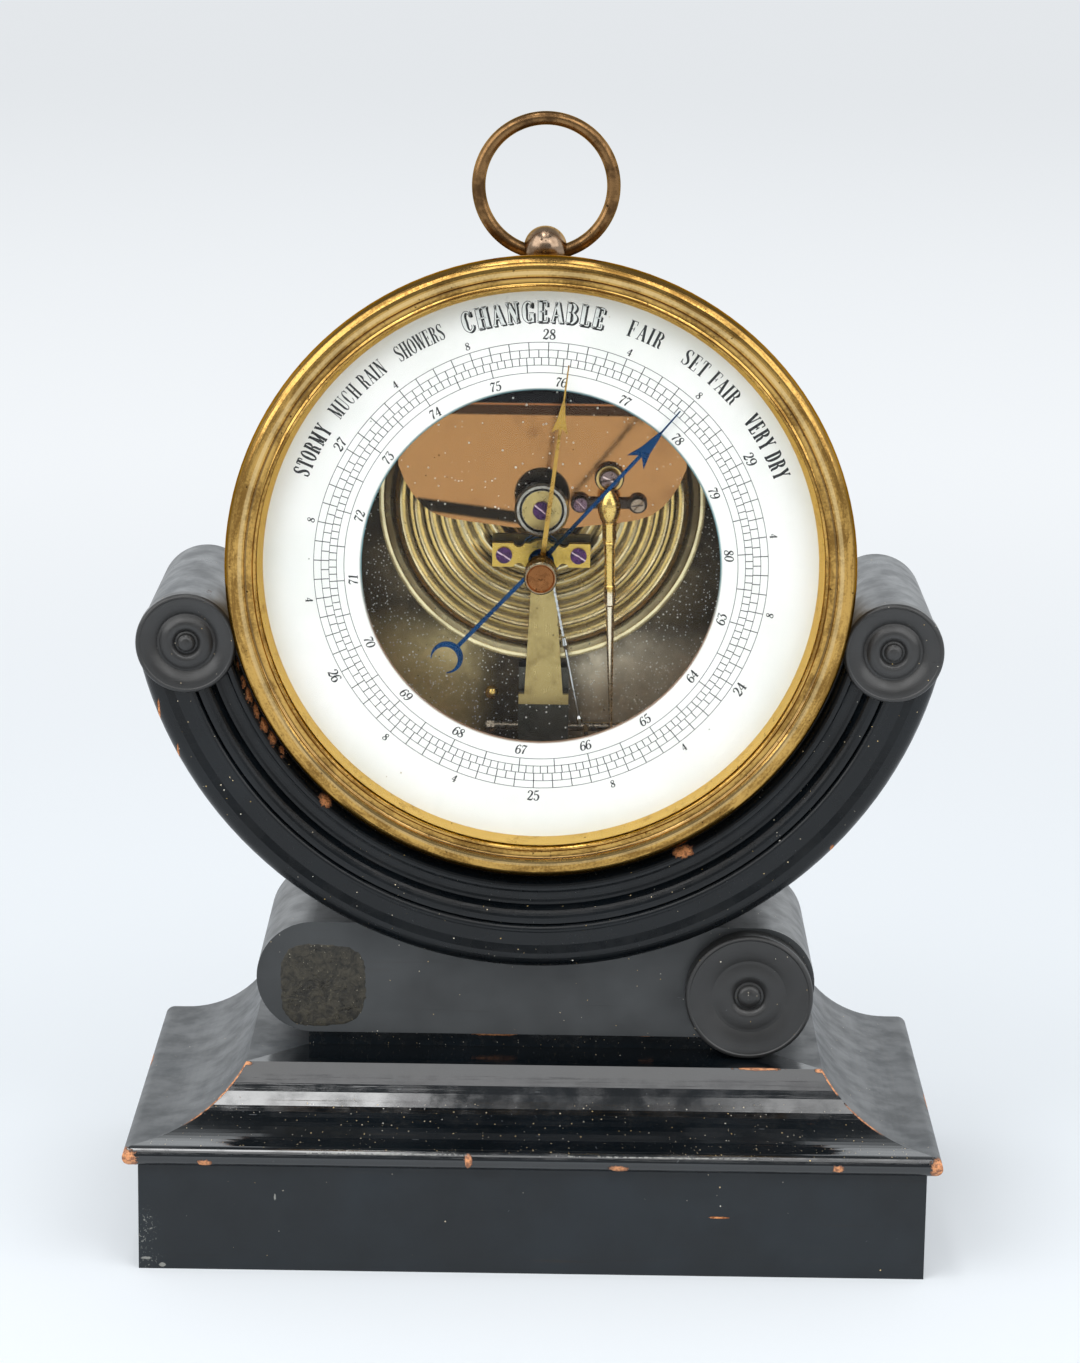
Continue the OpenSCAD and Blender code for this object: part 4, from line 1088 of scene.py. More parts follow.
@dataclass
class DialPrinting:
    """Everything printed on the dial: two scales, their numbers and the weather words.

    Args:
        circles: Radii of the five scale circles, outermost first.
        line_w: Width of a circle's line.
        tick_w: Width of a tick.
        inner_zero: Angle of number 76 on the inner scale.
        outer_zero: Angle of number 28 on the outer scale.
        inside_r: Radius of the middles of the inner scale's numbers.
        outside_r: The same for the outer scale's numbers.
        small_r: The same for the fours and eights between them.
        big_foot: Radius of the feet of the big word.
        word_foot: Radius of the feet of the other words.
        word_height: Height of the words.
        words: Light words, their first and last angle, and their squeeze.
        bold_words: The same for the bold words.
        big_word: The big word, and its first and last angle.
    """

    circles: tuple[float, ...] = (46.85, 45.3, 43.7, 42.15, 40.6)
    line_w: float = 0.12
    tick_w: float = 0.18
    inner_zero: float = 5.4
    outer_zero: float = 1.2
    inside_r: float = 38.8
    outside_r: float = 48.5
    small_r: float = 48.3
    big_foot: float = 51.0
    word_foot: float = 51.3
    word_height: float = 3.4
    words: tuple[tuple[str, float, float, float], ...] = (
        ("MUCH RAIN", -53.9, -38.2, 0.8),
        ("SHOWERS", -34.5, -22.9, 0.76),
        ("FAIR", 18.9, 27.2, 1.0),
        ("SET FAIR", 32.6, 48.0, 1.0),
    )
    bold_words: tuple[tuple[str, float, float, float], ...] = (
        ("STORMY", -69.3, -57.2, 0.8),
        ("VERY DRY", 52.8, 68.2, 0.86),
    )
    big_word: tuple[str, float, float] = ("CHANGEABLE", -18.4, 13.2)

    def _ticks(self, angles: Array, inner: float, outer: float) -> tuple[Array, Array]:
        """Radial bars: a block for each angle from one radius to another.

        Args:
            angles: Angles in degrees, clockwise from the top.
            inner: Inner radius.
            outer: Outer radius.

        Returns:
            Corners face-on, and faces.
        """
        turn = np.radians(angles)[:, None]
        side = np.tile([1, -1, -1, 1], 2)[None, :] * self.tick_w / 2
        reach = np.repeat([inner, outer], 4)[None, :]
        lift = np.tile([INK_HIGH, INK_HIGH, INK_LOW, INK_LOW], 2)[None, :] + 0 * turn
        x = side * np.cos(turn) + reach * np.sin(turn)
        y = reach * np.cos(turn) - side * np.sin(turn)
        box = np.array(
            [[0, 4, 5, 1], [1, 5, 6, 2], [2, 6, 7, 3], [3, 7, 4, 0], [0, 1, 2, 3], [7, 6, 5, 4]]
        )
        starts = 8 * np.arange(len(angles))[:, None, None]
        return np.stack([x, y, lift], axis=2).reshape(-1, 3), (box[None] + starts).reshape(-1, 4)

    def _circle(self, radius: float) -> tuple[Array, Array]:
        """A thin printed circle: x is r times cosine, y is r times sine."""
        turn = np.radians(np.arange(0, 360, 2.0))
        width = np.full_like(turn, self.line_w)
        path = np.stack([radius * np.cos(turn), radius * np.sin(turn), width], axis=1)
        return ribbon(path, INK_LOW, INK_HIGH, closed=True)

    @staticmethod
    def _print(name: str, parts: Sequence[tuple[Array, Array]], ink: Ink) -> None:
        """Makes one printed piece, which rides with the case.

        Args:
            name: Name of the piece.
            parts: Its meshes, face-on.
            ink: What it is printed in.
        """
        points, faces = joined(parts)
        add_piece(name, face_on(points), faces, ink, "barometer")

    def build_scales(self) -> None:
        """The circles and ticks of both scales, as one piece."""
        r1, r2, r3, r4, r5 = self.circles
        outer, inner = self.outer_zero, self.inner_zero
        parts = [self._circle(radius) for radius in self.circles]
        parts += [
            self._ticks(outer + np.arange(0, 360, 5.0), r2, r1),
            self._ticks(outer + np.arange(0, 360, 2.5), r3, r2),
            self._ticks(inner + np.arange(0, 360, 2.0), r4, r3),
            self._ticks(inner + np.arange(0, 360, 10.0), r5, r4),
        ]
        ink = Ink("scale_ink", thin=0.4, body=(0.03, 0.03, 0.035), pale=(0.24, 0.24, 0.25))
        self._print("dial_scales", parts, ink)

    def build_numbers(self) -> None:
        """Numbers 63 to 80 inside the scales, 24 to 29 with fours and eights outside."""
        inside = Lettering(height=1.9, squeeze=0.96, lean=0.14, heavier=0.035)
        outside = Lettering(height=2.1, squeeze=0.96, lean=0.06, heavier=0.035)
        small = Lettering(height=1.5, squeeze=1.0, lean=0.1, heavier=0.04)
        parts: list[tuple[Array, Array]] = []
        for number in range(63, 81):
            angle = self.inner_zero + 20 * (number - 76)
            parts += inside.set_word(str(number), angle, None, self.inside_r)
        for unit in range(6):
            angle = self.outer_zero + 60 * unit
            parts += outside.set_word(str(24 + (unit + 4) % 6), angle, None, self.outside_r)
            parts += small.set_word("4", angle + 20, None, self.small_r)
            parts += small.set_word("8", angle + 40, None, self.small_r)
        self._print("dial_numbers", parts, Ink("number_ink"))

    def build_words(self) -> None:
        """Weather words round the top; the big one is white with a black edge and shade."""
        parts: list[tuple[Array, Array]] = []
        for heavier, words in ((0.0, self.words), (0.04, self.bold_words)):
            for text, start, end, squeeze in words:
                cut = Lettering(self.word_height, squeeze, heavier=heavier)
                parts += cut.set_word(text, start, end, self.word_foot)
        text, start, end = self.big_word
        edge = Lettering(height=4.2, squeeze=1.05, heavier=0.075)
        shade = replace(edge, shift=(0.07, -0.05))
        body = replace(edge, heavier=0.015, low=0.0, high=0.03)
        for cut in (edge, shade):
            parts += cut.set_word(text, start, end, self.big_foot)
        self._print("dial_words", parts, Ink("word_ink", thin=0.1))
        white = Ink("word_white", thin=0.3, body=(0.84, 0.84, 0.82), pale=(0.74, 0.74, 0.7))
        self._print("dial_word_fill", body.set_word(text, start, end, self.big_foot), white)

    def build(self) -> None:
        """Prints the dial."""
        self.build_scales()
        self.build_numbers()
        self.build_words()


# ------------------------------------------------------------------------------- stand


@dataclass
class WoodenStand:
    """The ebonised stand: finishes of its boards, and the scar where a roundel came off.

    Args:
        scar_at: Middle of the scar on the front of the scroll block.
        scar_r: Half its width.
        crumbs: Number of glue crumbs standing on it.
        rim_chips: Chips on the cradle.
        nose_chips: Chips and scuffs on the front moulding, and pale lines along the nosing that are
            a painted highlight.
        side_chips: Those on the side mouldings.
        plinth_chips: Those on the plinth.
        ledge_chips: Those on the raised strip.
        roller_chips: Those on the rollers.
    """

    scar_at: Point = (-45.4, -14.5, 52.8)
    scar_r: float = 9.2
    crumbs: int = 90
    rim_chips: tuple[Chip, ...] = (
        *chips(-21.5, 2.4, (-62.4, 125.9, 0.9, 3.2), (-61.2, 122.0, 0.9, 3.4),
            (-60.0, 118.8, 1.2, 3.2), (-58.5, 115.6, 1.1, 3.0), (-56.9, 112.4, 1.3, 2.6),
            (-55.3, 109.6, 1.0, 2.6), (-53.4, 106.8, 0.8, 2.2), (-44.2, 95.6, 1.6, 1.8),
            (30.4, 85.4, 2.4, 1.5)),
        *chips(-20.5, 3.0, (-79.3, 112.0, 0.35, 5.0), (-75.4, 103.4, 0.35, 4.0),
            (62.0, 86.0, 0.5, 1.2)),
    )
    nose_chips: tuple[Chip, ...] = (
        *chips(-47.6, 2.4, (-84.2, 25.0, 2.6, 2.3), (84.2, 25.3, 1.9, 2.5)),
        *chips(-47.9, 1.5, (-68.0, 24.3, 1.7, 0.9)),
        *chips(-48.0, 1.5, (-13.3, 25.7, 0.8, 1.7), (17.8, 24.3, 2.1, 0.9), (63.3, 25.0, 1.2, 0.9)),
        *chips(-47.3, 1.2, (-17.2, 27.2, 2.2, 0.5, 0.4)),
        *chips(-24.0, 0.5, (47.5, 38.6, 5.0, 0.35)),
        *chips(-24.3, 0.8, (-61.0, 38.4, 1.3, 0.6), (60.6, 38.5, 1.2, 0.6)),
        # Two long pale lines along the top of the nosing: a painted highlight.
        *chips(-47.7, 0.4, (-30.0, 26.9, 24.0, 0.22, 0.0), (28.0, 26.9, 30.0, 0.2, 0.0)),
    )
    side_chips: tuple[Chip, ...] = (
        *chips(-47.0, 3.2, (-84.6, 25.0, 1.6, 2.5)),
        *chips(-47.0, 2.6, (84.6, 25.3, 1.6, 2.5)),
        *chips(12.0, 5.0, (-84.9, 26.6, 0.6, 0.5)),
        *chips(-8.0, 6.0, (84.9, 26.4, 0.6, 0.5)),
    )
    plinth_chips: tuple[Chip, ...] = (
        *chips(-45.0, 1.0, (-80.4, 2.3, 1.2, 0.3, 0.0), (-77.0, 0.9, 0.7, 0.45, 0.0),
            (-80.4, 8.4, 2.2, 5.2, 0.3), (-80.0, 2.0, 2.6, 2.2, 0.3), (38.8, 13.0, 2.2, 0.25),
            (-53.5, 16.1, 0.25, 0.8, 0.0)),
    )
    ledge_chips: tuple[Chip, ...] = (
        *chips(-11.5, 1.0, (-8.5, 41.4, 5.5, 0.4), (24.0, 41.6, 2.0, 0.3)),
    )
    roller_chips: tuple[Chip, ...] = (
        *chips(-14.0, 3.0, (-68.5, 139.6, 1.6, 1.6)),
        *chips(-17.5, 2.0, (-67.0, 139.6, 0.9, 1.2)),
        *chips(-20.4, 0.7, (-78.0, 137.2, 6.0, 3.0)),
        *chips(-20.2, 0.5, (72.0, 138.8, 5.0, 1.6)),
    )

    def dress(self) -> None:
        """Puts black polish on every wooden node, duller on the turned discs. The block and the
        roundels get a lighter black as painted light, the front moulding and the cradle a darker
        one as painted shade.
        """
        dress("plinth", EbonisedWood(
            "plinth_wood", rough=0.42, dust=0.02, dust_low=-5, dust_high=30,
            chips=self.plinth_chips,
        ))
        dress("front_moulding", EbonisedWood(
            "front_moulding_wood", rough=0.11, dust=0.42, dust_low=26.8, dust_high=33,
            # A darker black than the default: painted shade.
            scratches=2.6, black=(0.003, 0.0045, 0.006), polish=1.75, mitre_wear=True,
            chips=self.nose_chips,
        ))
        dress("side_mouldings", EbonisedWood(
            "side_moulding_wood", grain=Grain.DEEP, rough=0.36, polish=1.55, dust=0.03, dust_low=0,
            dust_high=60, mitre_wear=True, chips=self.side_chips,
        ))
        dress("core_board", EbonisedWood(
            "ledge_wood", rough=0.2, dust=0.95, dust_low=30, dust_high=60, chips=self.ledge_chips,
        ))
        dress("scroll_block", EbonisedWood(
            "block_wood", rough=0.34, dust=0.05, dust_low=0, dust_high=90, scratches=0.5,
            # A lighter black than the default: painted light.
            black=(0.021, 0.023, 0.024), polish=1.57,
        ))
        dress("cradle", EbonisedWood(
            "cradle_wood", rough=0.26, dust=0.1, dust_low=0, dust_high=150, scratches=0.5,
            # A darker black than the default: painted shade.
            black=(0.002, 0.0032, 0.0044), polish=1.42, chips=self.rim_chips,
        ))
        dress("left_roller right_roller", EbonisedWood(
            "roller_wood", grain=Grain.DEEP, rough=0.33, dust=0.04, dust_low=0, dust_high=160,
            scratches=1.6, polish=1.6, chips=self.roller_chips,
        ))
        dress("left_roundel right_roundel lower_roundel", EbonisedWood(
            "roundel_wood", rough=0.34, dust=0.08, dust_low=0, dust_high=160, scratches=0.4,
            # A lighter black than the default: painted light.
            black=(0.018, 0.0178, 0.0176), polish=1.55,
        ))

    def build_scar(self) -> None:
        """The patch of old glue: a low crust with a rounded-square outline.

        On a polar grid the outline's radius is the scar's half width divided by the
        norm of cosine and sine with exponent 3.4. The crust is 0.22 mm thick times one
        minus the share of the radius to the eighth power, roughened by noise, and its
        rim and underside lie just inside the wood.
        """
        rng = np.random.default_rng(SEED)
        turn = np.radians(np.arange(0, 360, 4.0))
        share = np.linspace(0.0, 1.0, 26)[1:]
        power = 3.4
        norm = (np.abs(np.cos(turn)) ** power + np.abs(np.sin(turn)) ** power) ** (1 / power)
        outline = self.scar_r / norm
        wobble = 1 + 0.02 * np.sin(3 * turn + 1.0)
        outline = outline * (wobble + 0.012 * rng.standard_normal(len(turn)))
        share = share[:, None]
        reach = share * outline[None, :]
        rise = 0.05 * rng.standard_normal(reach.shape) * (1 - share**6)
        lift = 0.22 * (1 - share**8) + rise
        lift = np.where(share > 0.99, -0.05, np.maximum(lift, 0.03))
        grid = np.stack([reach * np.cos(turn), reach * np.sin(turn), lift], axis=2).reshape(-1, 3)
        rim = grid[-len(turn):] * np.array([1.0, 1.0, 0.0]) - np.array([0.0, 0.0, 0.3])
        count, rings = len(turn), len(share)
        points = np.concatenate([grid, rim, [[0.0, 0.0, 0.2], [0.0, 0.0, -0.3]]])
        ring = np.arange(rings)[:, None] * count
        this = np.arange(count)[None, :]
        after = (this + 1) % count
        corners = [ring + this, ring + count + this, ring + count + after, ring + after]
        quads = np.stack(corners, axis=2).reshape(-1, 4)
        top, under = len(points) - 2, len(points) - 1
        inner = np.stack([this[0], after[0], np.full(count, top)], axis=1)
        rim_start = rings * count
        outer = np.stack([after[0] + rim_start, this[0] + rim_start, np.full(count, under)], axis=1)
        split = np.concatenate([quads[:, [0, 1, 2]], quads[:, [0, 2, 3]], inner, outer])
        points, faces = joined([(points, split), self._crumbs(rng)])
        x, y, z = self.scar_at
        placed = np.stack([x + points[:, 0], y - points[:, 2], z + points[:, 1]], axis=1)
        glue = GlueScar("old_glue")
        add_piece("glue_scar", placed, faces, glue, "stand", smooth=True)

    def _crumbs(self, rng: np.random.Generator) -> tuple[Array, Array]:
        """Crumbs of glue: small eight-sided lumps, most of them low on the scar.

        Args:
            rng: Source of the random draws.

        Returns:
            Corners face-on to the scar, and three-sided faces.
        """
        lump = np.concatenate([np.eye(3), -np.eye(3)])[[0, 1, 3, 4, 2, 5]]
        ring = np.arange(4)
        after = (ring + 1) % 4
        upper = np.stack([ring, after, np.full(4, 4)], axis=1)
        lower = np.stack([after, ring, np.full(4, 5)], axis=1)
        sides = np.concatenate([upper, lower])
        turn = rng.uniform(0, 2 * np.pi, self.crumbs)
        far = 0.92 * self.scar_r * np.sqrt(rng.uniform(0, 1, self.crumbs))
        across, up = far * np.cos(turn), far * np.sin(turn)
        up = np.where(rng.uniform(size=self.crumbs) < 0.65, -np.abs(up), up)
        middle = np.stack([across, up, np.full(self.crumbs, 0.2)], axis=1)
        size = rng.uniform(0.1, 0.34, (self.crumbs, 1, 1))
        size = size * rng.uniform(0.6, 1.2, (self.crumbs, 6, 1))
        points = middle[:, None, :] + lump[None] * size * np.array([1.0, 1.0, 0.8])
        faces = sides[None] + 6 * np.arange(self.crumbs)[:, None, None]
        return points.reshape(-1, 3), faces.reshape(-1, 3)

    def build(self) -> None:
        """Dresses the stand and adds the scar."""
        self.dress()
        self.build_scar()


# -------------------------------------------------------------------------- instrument


class BrassCase:
    """Drum, bezel, sight ring, glass, pendant and ring of the instrument."""

    def build(self) -> None:
        """Puts lacquered brass on the case, brown bronze on the ring and its ball."""
        dress("bezel", Metal(
            "bezel_brass", (0.58, 0.355, 0.1), (0.24, 0.13, 0.033), 3.2, 0.5, 0.1, 0.1, 0.2,
            lines_mm=0.25, streaky=4.0, edge=(0.7, 0.45, 0.2),
            painted=(
                # Painted reflections: dark rings at the groove and at the outer edge of the roll,
                # and a pale highlight ring between them.
                Disc(0.0, DIAL_Z, 60.3, 60.95, (0.24, 0.15, 0.06), soft=0.3),
                Disc(0.0, DIAL_Z, 61.2, 62.3, (0.68, 0.47, 0.2), soft=0.3),
                Disc(0.0, DIAL_Z, 63.9, 66.5, (0.26, 0.15, 0.045), soft=0.5),
            ),
        ))
        dress("case_drum", Metal(
            "drum_brass", (0.38, 0.25, 0.1), (0.27, 0.17, 0.068), 10.0, 0.6, 0.3, 0.15, 0.14,
            lines_mm=0.4, relief=0.003,
        ))
        dress("sight_ring", Metal(
            "gilt_brass", (0.75, 0.5, 0.15), (0.5, 0.3, 0.08), 5.0, 0.25, 0.15, 0.08, 0.1,
            lines_mm=0.2,
        ))
        dress("glass_bush", Metal(
            "bush_brass", (0.6, 0.45, 0.22), (0.4, 0.27, 0.12), 2.0, 0.4, 0.22, 0.1, 0.1,
            lines_mm=0.15,
        ))
        dress("hanging_ring", Metal(
            "ring_bronze", (0.26, 0.145, 0.06), (0.1, 0.055, 0.024), 7.0, 0.55, 0.25, 0.12, 0.2,
        ))
        dress("pendant_ball", Metal(
            "ball_bronze", (0.32, 0.225, 0.155), (0.18, 0.115, 0.07), 5.0, 0.45, 0.2, 0.12, 0.2,
        ))
        dress("case_screws spring_screws adjusting_screw", Metal(
            "dark_steel", (0.12, 0.115, 0.12), (0.05, 0.045, 0.045), 2.0, 0.4, 0.3, 0.15, 0.2,
        ))
        dress("glass", ClearGlass("clear_glass"))
        dress("dial", DialWhite("dial_white"))


class Hands:
    """Blued pointer, gilt set hand and its knob."""

    def build(self) -> None:
        """Puts blueing on the pointer, gilding on the set hand, worn brass on the knob."""
        dress("pointer", Metal(
            "blued_steel", (0.006, 0.05, 0.15), (0.005, 0.03, 0.09), 5.0, 0.4, 0.22, 0.1, 0.02,
            edge=(0.1, 0.25, 0.5),
        ))
        dress("set_hand", Metal(
            "set_hand_gilt", (0.58, 0.35, 0.075), (0.34, 0.18, 0.04), 3.0, 0.45, 0.2, 0.1, 0.03,
        ))
        dress("set_knob", Metal(
            "knob_brass", (0.34, 0.29, 0.2), (0.2, 0.16, 0.1), 2.5, 0.45, 0.24, 0.08, 0.1,
            painted=(
                Disc(0.0, DIAL_Z, 0.0, 3.05, (0.3, 0.125, 0.045)),
            ),
        ))
        dress("arbor", Metal(
            "arbor_steel", (0.45, 0.45, 0.46), (0.25, 0.24, 0.24), 1.5, 0.4, 0.2, 0.1,
        ))


@dataclass
class Movement:
    """The works behind the dial's opening.

    Args:
        screw_slots: Pale slots across the heads of the front screws, painted highlights where they
            catch the light.
    """

    # Painted highlights: pale slots across the screw heads.
    screw_slots: tuple[Band, ...] = (
        Band(155.88, 156.32, (0.8, 0.6, 0.66), -1.6, 1.6, slope=-0.8, soft=0.08),
        Band(140.98, 141.42, (0.8, 0.6, 0.66), -9.6, -6.2, slope=-0.62, soft=0.08),
        Band(150.68, 151.12, (0.8, 0.6, 0.66), 6.2, 9.6, slope=-0.62, soft=0.08),
    )

    def build(self) -> None:
        """Puts its own metal on each piece of the works, with painted reflections on the spring and
        the plate, painted shade on the strap and in the post's groove, and painted highlights and
        shade in the screw slots and on the lever's spike.
        """
        dress("capsule", CapsuleMetal("capsule_gilt"))
        dress("mainspring", Metal(
            "spring_copper", (0.46, 0.22, 0.08), (0.36, 0.165, 0.06), 16.0, 0.35, 0.14, 0.04, 0.03,
            dust=0.13,
            # Painted reflections of the dark parts round the leaf: dark bands across the top and
            # along the lower left, a thin copper line between the top bands, and a dark disc above
            # the post.
            painted=(
                Band(175.8, 178.5, (0.06, 0.028, 0.014), soft=0.5),
                Band(178.1, 178.6, (0.34, 0.13, 0.05), soft=0.2),
                Band(178.4, 210.0, (0.014, 0.013, 0.014), soft=0.3),
                Band(151.3, 154.9, (0.02, 0.014, 0.008), -26.5, 3.0, slope=-0.1315, soft=0.9),
                Disc(0.0, 159.0, 0.0, 6.0, (0.02, 0.014, 0.009), soft=0.5),
            ),
        ))
        dress("base_plate", Metal(
            "plate_bronze", (0.1, 0.075, 0.045), (0.05, 0.036, 0.022), 18.0, 0.6, 0.3, 0.12, 0.1,
            dust=0.78, dust_mm=0.225,
            # Painted reflections: a golden one low on the left, a grey-brown one low on the right.
            painted=(
                Band(90.0, 133.0, (0.86, 0.66, 0.32), -60.0, -8.0, soft=13.0),
                Band(90.0, 130.0, (0.74, 0.62, 0.46), 2.0, 60.0, soft=11.0),
            ),
        ))
        dress("arbor_cock", Metal(
            "cock_brass", (0.68, 0.45, 0.1), (0.5, 0.32, 0.06), 4.0, 0.3, 0.3, 0.1, 0.05,
            lines_mm=0.16, lines=(0.02, 1.0, 1.0), relief=0.006,
        ))
        dress("arbor_strap", Metal(
            "strap_brass", (0.5, 0.37, 0.15), (0.36, 0.26, 0.1), 6.0, 0.4, 0.32, 0.1, 0.05,
            lines_mm=0.14, lines=(1.0, 1.0, 0.02), relief=0.008,
            # Painted shade across the strap's head.
            painted=(
                Band(140.0, 160.0, (0.1, 0.075, 0.03), soft=6.0),
            ),
        ))
        dress("main_lever", Metal(
            "lever_brass", (0.86, 0.58, 0.18), (0.55, 0.34, 0.08), 3.0, 0.3, 0.24, 0.1, 0.06,
            lines_mm=0.12, lines=(0.02, 0.02, 1.0), relief=0.003,
            # Painted highlight: a pale band down the spike.
            painted=(
                Band(100.0, 139.0, (1.0, 0.84, 0.62), soft=1.0),
            ),
        ))
        dress("plate_stud cock_pillars plate_pillars capsule_nut", Metal(
            "turned_brass", (0.86, 0.58, 0.18), (0.55, 0.34, 0.08), 3.0, 0.3, 0.2, 0.1, 0.06,
            lines_mm=0.12, lines=(0.02, 0.02, 1.0), relief=0.003,
        ))
        dress("capsule_post", Metal(
            "post_metal", (0.5, 0.46, 0.4), (0.3, 0.27, 0.23), 2.5, 0.45, 0.2, 0.06, 0.04,
            painted=(
                # Painted shade in the groove round the brass face.
                Disc(0.0, CAPSULE_Z, 4.1, 4.75, (0.03, 0.025, 0.02)),
                Disc(0.0, CAPSULE_Z, 0.0, 4.2, (0.56, 0.42, 0.17)),
            ),
        ))
        dress("post_screw cock_screws", Metal(
            "purple_steel", (0.11, 0.04, 0.13), (0.035, 0.02, 0.055), 1.2, 0.5, 0.14, 0.12,
            painted=self.screw_slots,
        ))
        dress("lever_foot", Metal(
            "foot_steel", (0.05, 0.035, 0.026), (0.03, 0.02, 0.015), 2.0, 0.4, 0.2, 0.08, 0.04,
            painted=(
                Disc(8.0, 157.0, 0.0, 1.5, (0.2, 0.12, 0.15)),
                Disc(20.0, 157.0, 0.0, 1.5, (0.34, 0.25, 0.18)),
                Disc(14.0, 162.6, 2.15, 2.85, (0.6, 0.42, 0.16)),
                Disc(14.0, 162.6, 0.0, 1.9, (0.22, 0.15, 0.14)),
                # Painted highlights in the two pale slots, painted shade in the dark slot of the
                # right screw.
                Band(164.8, 165.2, (0.6, 0.44, 0.48), 7.1, 8.9, slope=-1.0, soft=0.08),
                Band(154.8, 155.2, (0.08, 0.06, 0.05), 18.8, 21.2, slope=0.1, soft=0.08),
                Band(169.38, 169.82, (0.7, 0.55, 0.5), 12.6, 15.4, slope=-0.5, soft=0.08),
            ),
        ))
        dress("rocker_bracket", Metal(
            "bracket_steel", (0.1, 0.092, 0.075), (0.06, 0.052, 0.042), 5.0, 0.4, 0.34, 0.08, 0.05,
            dust=0.2,
        ))
        dress("chain pull_rod", Metal(
            "bright_steel", (0.62, 0.62, 0.62), (0.4, 0.38, 0.36), 1.5, 0.35, 0.2, 0.12,
            edge=(0.9, 0.9, 0.9),
        ))
        dress("rocker_shaft", Metal(
            "shaft_steel", (0.16, 0.13, 0.1), (0.08, 0.06, 0.045), 1.5, 0.35, 0.26, 0.12,
        ))
        dress("hairspring", Metal(
            "hairspring_blue", (0.03, 0.09, 0.2), (0.02, 0.04, 0.1), 1.5, 0.35, 0.25, 0.1,
        ))


# ------------------------------------------------------------------------------ studio


@dataclass(frozen=True)
class SoftBox:
    """A soft lamp that looks at the object.

    Args:
        name: Name of the lamp.
        at: Place in metres.
        aim: Point it looks at, in metres.
        size: Width and height in metres.
        watts: Power.
        colour: Colour of its light.
    """

    name: str
    at: Point
    aim: Point
    size: tuple[float, float]
    watts: float
    colour: Colour = (1.0, 1.0, 1.0)

    def build(self) -> None:
        """Hangs the lamp."""
        data = bpy.data.lights.new(self.name, "AREA")
        data.shape = "RECTANGLE"
        data.size, data.size_y = self.size
        data.energy = self.watts
        data.color = self.colour
        lamp = bpy.data.objects.new(self.name, data)
        bpy.context.scene.collection.objects.link(lamp)
        way = Vector(self.aim) - Vector(self.at)
        lamp.rotation_euler = way.to_track_quat("-Z", "Y").to_euler()
        lamp.location = self.at


FLOOR_CORNERS = ((-1, -1), (1, -1), (1, 1), (-1, 1))
SENSOR_MM = 36.0


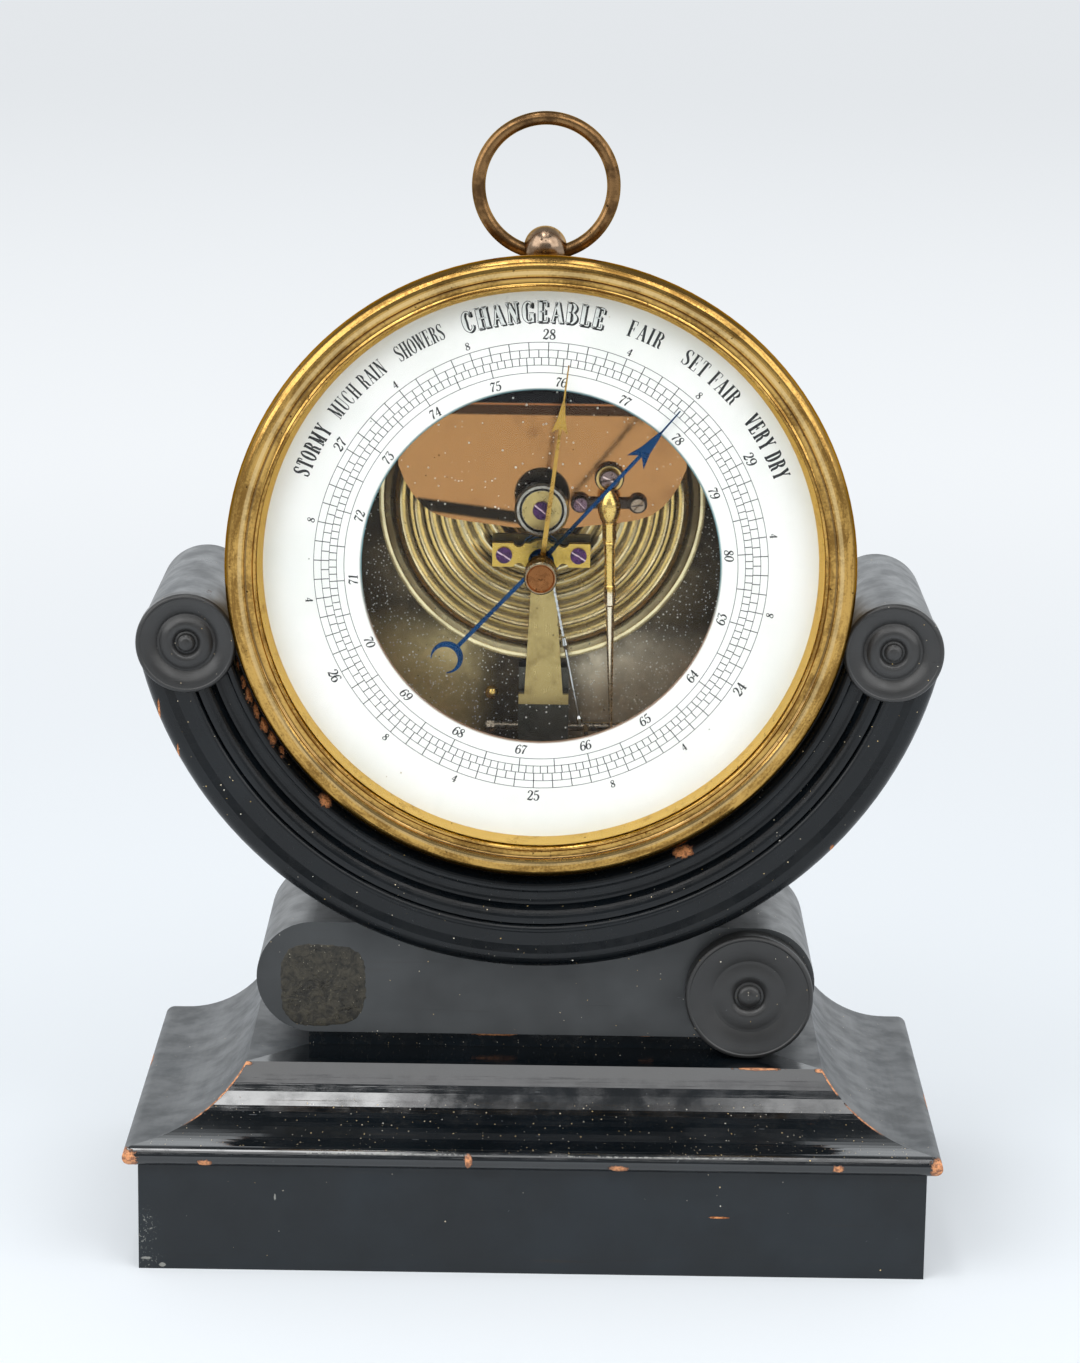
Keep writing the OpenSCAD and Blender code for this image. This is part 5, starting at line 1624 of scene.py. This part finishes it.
@dataclass
class Studio:
    """Pale floor, pale surround, soft lamps and the camera.

    Args:
        floor_half: Half the floor's width in metres.
        paper: Colour of the floor's paper.
        glow: Colour of the floor as it is seen, away from the shadow.
        sky: Colour of the surround.
        horizon: Its colour close to the horizon.
        camera_at: Place of the lens in metres.
        pitch: How far the camera looks down, in radians.
        yaw: How far it looks to the right, in radians.
        roll: How far it is turned about its own axis, in radians.
        focal_px: Focal length in pixels of the photograph's 1363 px height.
        axis_px: Distance of the lens axis to the right of the picture's middle.
        picture_px: Height of the photograph.
        lamps: The soft lamps.
    """

    floor_half: float = 9.0
    paper: Colour = (0.8, 0.84, 0.88)
    glow: Colour = (0.935, 0.965, 0.995)
    sky: Colour = (0.93, 0.97, 1.0)
    horizon: Colour = (0.775, 0.805, 0.83)
    camera_at: Point = (0.002644, -0.840871, 0.313772)
    pitch: float = 0.2303
    yaw: float = -0.00196
    roll: float = 0.01383
    focal_px: float = 4049.38
    axis_px: float = 4.383
    picture_px: float = 1363.0
    lamps: tuple[SoftBox, ...] = (
        SoftBox("lamp_left", (-1.1, -0.8, 1.0), (0.0, 0.0, 0.1), (1.3, 1.4), 12.4),
        SoftBox("lamp_right", (1.1, -0.8, 1.0), (0.0, 0.0, 0.1), (1.3, 1.4), 10.0),
        SoftBox("lamp_front", (0.0, -0.9, 1.04), (0.0, 0.0, 0.1), (1.3, 0.55), 5.0),
        SoftBox("strip_left", (-0.145, -0.18, 1.15), (-0.145, -0.179, 0.0), (0.16, 0.44), 1.75),
        SoftBox("strip_right", (0.145, -0.18, 1.15), (0.145, -0.179, 0.0), (0.1, 0.44), 0.45),
    )

    def build_floor(self) -> None:
        """A square floor whose paper keeps the object's shadow and meets the surround."""
        corners = [(x * self.floor_half, y * self.floor_half, 0.0) for x, y in FLOOR_CORNERS]
        mesh = bpy.data.meshes.new("floor")
        mesh.from_pydata(corners, [], [(0, 1, 2, 3)])
        floor = bpy.data.objects.new("floor", mesh)
        bpy.context.scene.collection.objects.link(floor)
        material = bpy.data.materials.new("studio_paper")
        material.use_nodes = True
        g = Graph(material.node_tree)
        fleck = g.ramp(g.noise(g.place(), 3.0, 2.0), 0.3, 0.7)
        away = g.vector("LENGTH", g.place())
        paper = g.mix(fleck, self.paper, tuple(0.985 * v for v in self.paper))
        matt = g.shader("BsdfDiffuse", Color=paper)
        strength = g.ramp(away, 0.6, 3.0, 1.0, 0.87)
        glow = g.shader("Emission", Color=self.glow, Strength=strength)
        path = g.node("ShaderNodeLightPath").outputs
        seen = g.most(path["Is Camera Ray"], path["Is Transmission Ray"], path["Is Glossy Ray"])
        g.end(g.blend(g.mul(seen, g.ramp(away, 0.12, 1.0, 0.28, 0.9)), matt, glow))
        mesh.materials.append(material)

    def build_surround(self) -> None:
        """A pale surround, darker towards the unlit front, where the photographer stands.

        The direction's y part, from -1 in front to 1 behind, and its height set the level.
        Close to the horizon it is one plain tone, which the far floor meets without an edge.
        """
        world = bpy.data.worlds.new("surround")
        bpy.context.scene.world = world
        world.use_nodes = True
        g = Graph(world.node_tree)
        way = g.node("ShaderNodeTexCoord").outputs["Generated"]
        _, y, z = g.axes(way)
        level = g.ramp(y, -0.9, 0.4, 0.3, 1.35)
        level = g.mul(level, g.ramp(z, 0.35, 0.75, 1.0, 0.37))
        low = g.ramp(z, 0.0, 0.09, 1.0, 0.0)
        colour = g.mix(low, self.sky, self.horizon)
        strength = g.add(low, g.mul(level, g.sub(1.0, low)))
        g.end(g.shader("Background", Color=colour, Strength=strength), "World")

    def build_camera(self) -> None:
        """The camera, turned by yaw, then pitch, then roll about its own axis."""
        level, down = math.cos(self.pitch), -math.sin(self.pitch)
        aside, straight = math.sin(self.yaw), math.cos(self.yaw)
        ahead = Vector((aside * level, straight * level, down))
        right = Vector((straight, -aside, 0.0))
        above = right.cross(ahead)
        turn_x = math.cos(self.roll) * right + math.sin(self.roll) * above
        turn_y = math.cos(self.roll) * above - math.sin(self.roll) * right
        data = bpy.data.cameras.new("camera")
        data.sensor_fit = "AUTO"
        data.sensor_width = SENSOR_MM
        data.lens = self.focal_px / self.picture_px * SENSOR_MM
        data.shift_x = -self.axis_px / self.picture_px
        data.clip_end = 60.0
        camera = bpy.data.objects.new("camera", data)
        bpy.context.scene.collection.objects.link(camera)
        axes = Matrix((turn_x, turn_y, -ahead)).transposed()
        camera.matrix_world = Matrix.Translation(Vector(self.camera_at)) @ axes.to_4x4()
        bpy.context.scene.camera = camera

    def build(self) -> None:
        """Sets up the studio."""
        bpy.context.scene.view_settings.view_transform = "Standard"
        self.build_camera()
        self.build_floor()
        self.build_surround()
        for lamp in self.lamps:
            lamp.build()


def main() -> None:
    """Builds the studio and the looks of every sub-assembly, in order."""
    for part in (Studio(), WoodenStand(), BrassCase(), DialPrinting(), Hands(), Movement()):
        LOG.info("building %s", type(part).__name__)
        part.build()


if __name__ == "__main__":
    main()
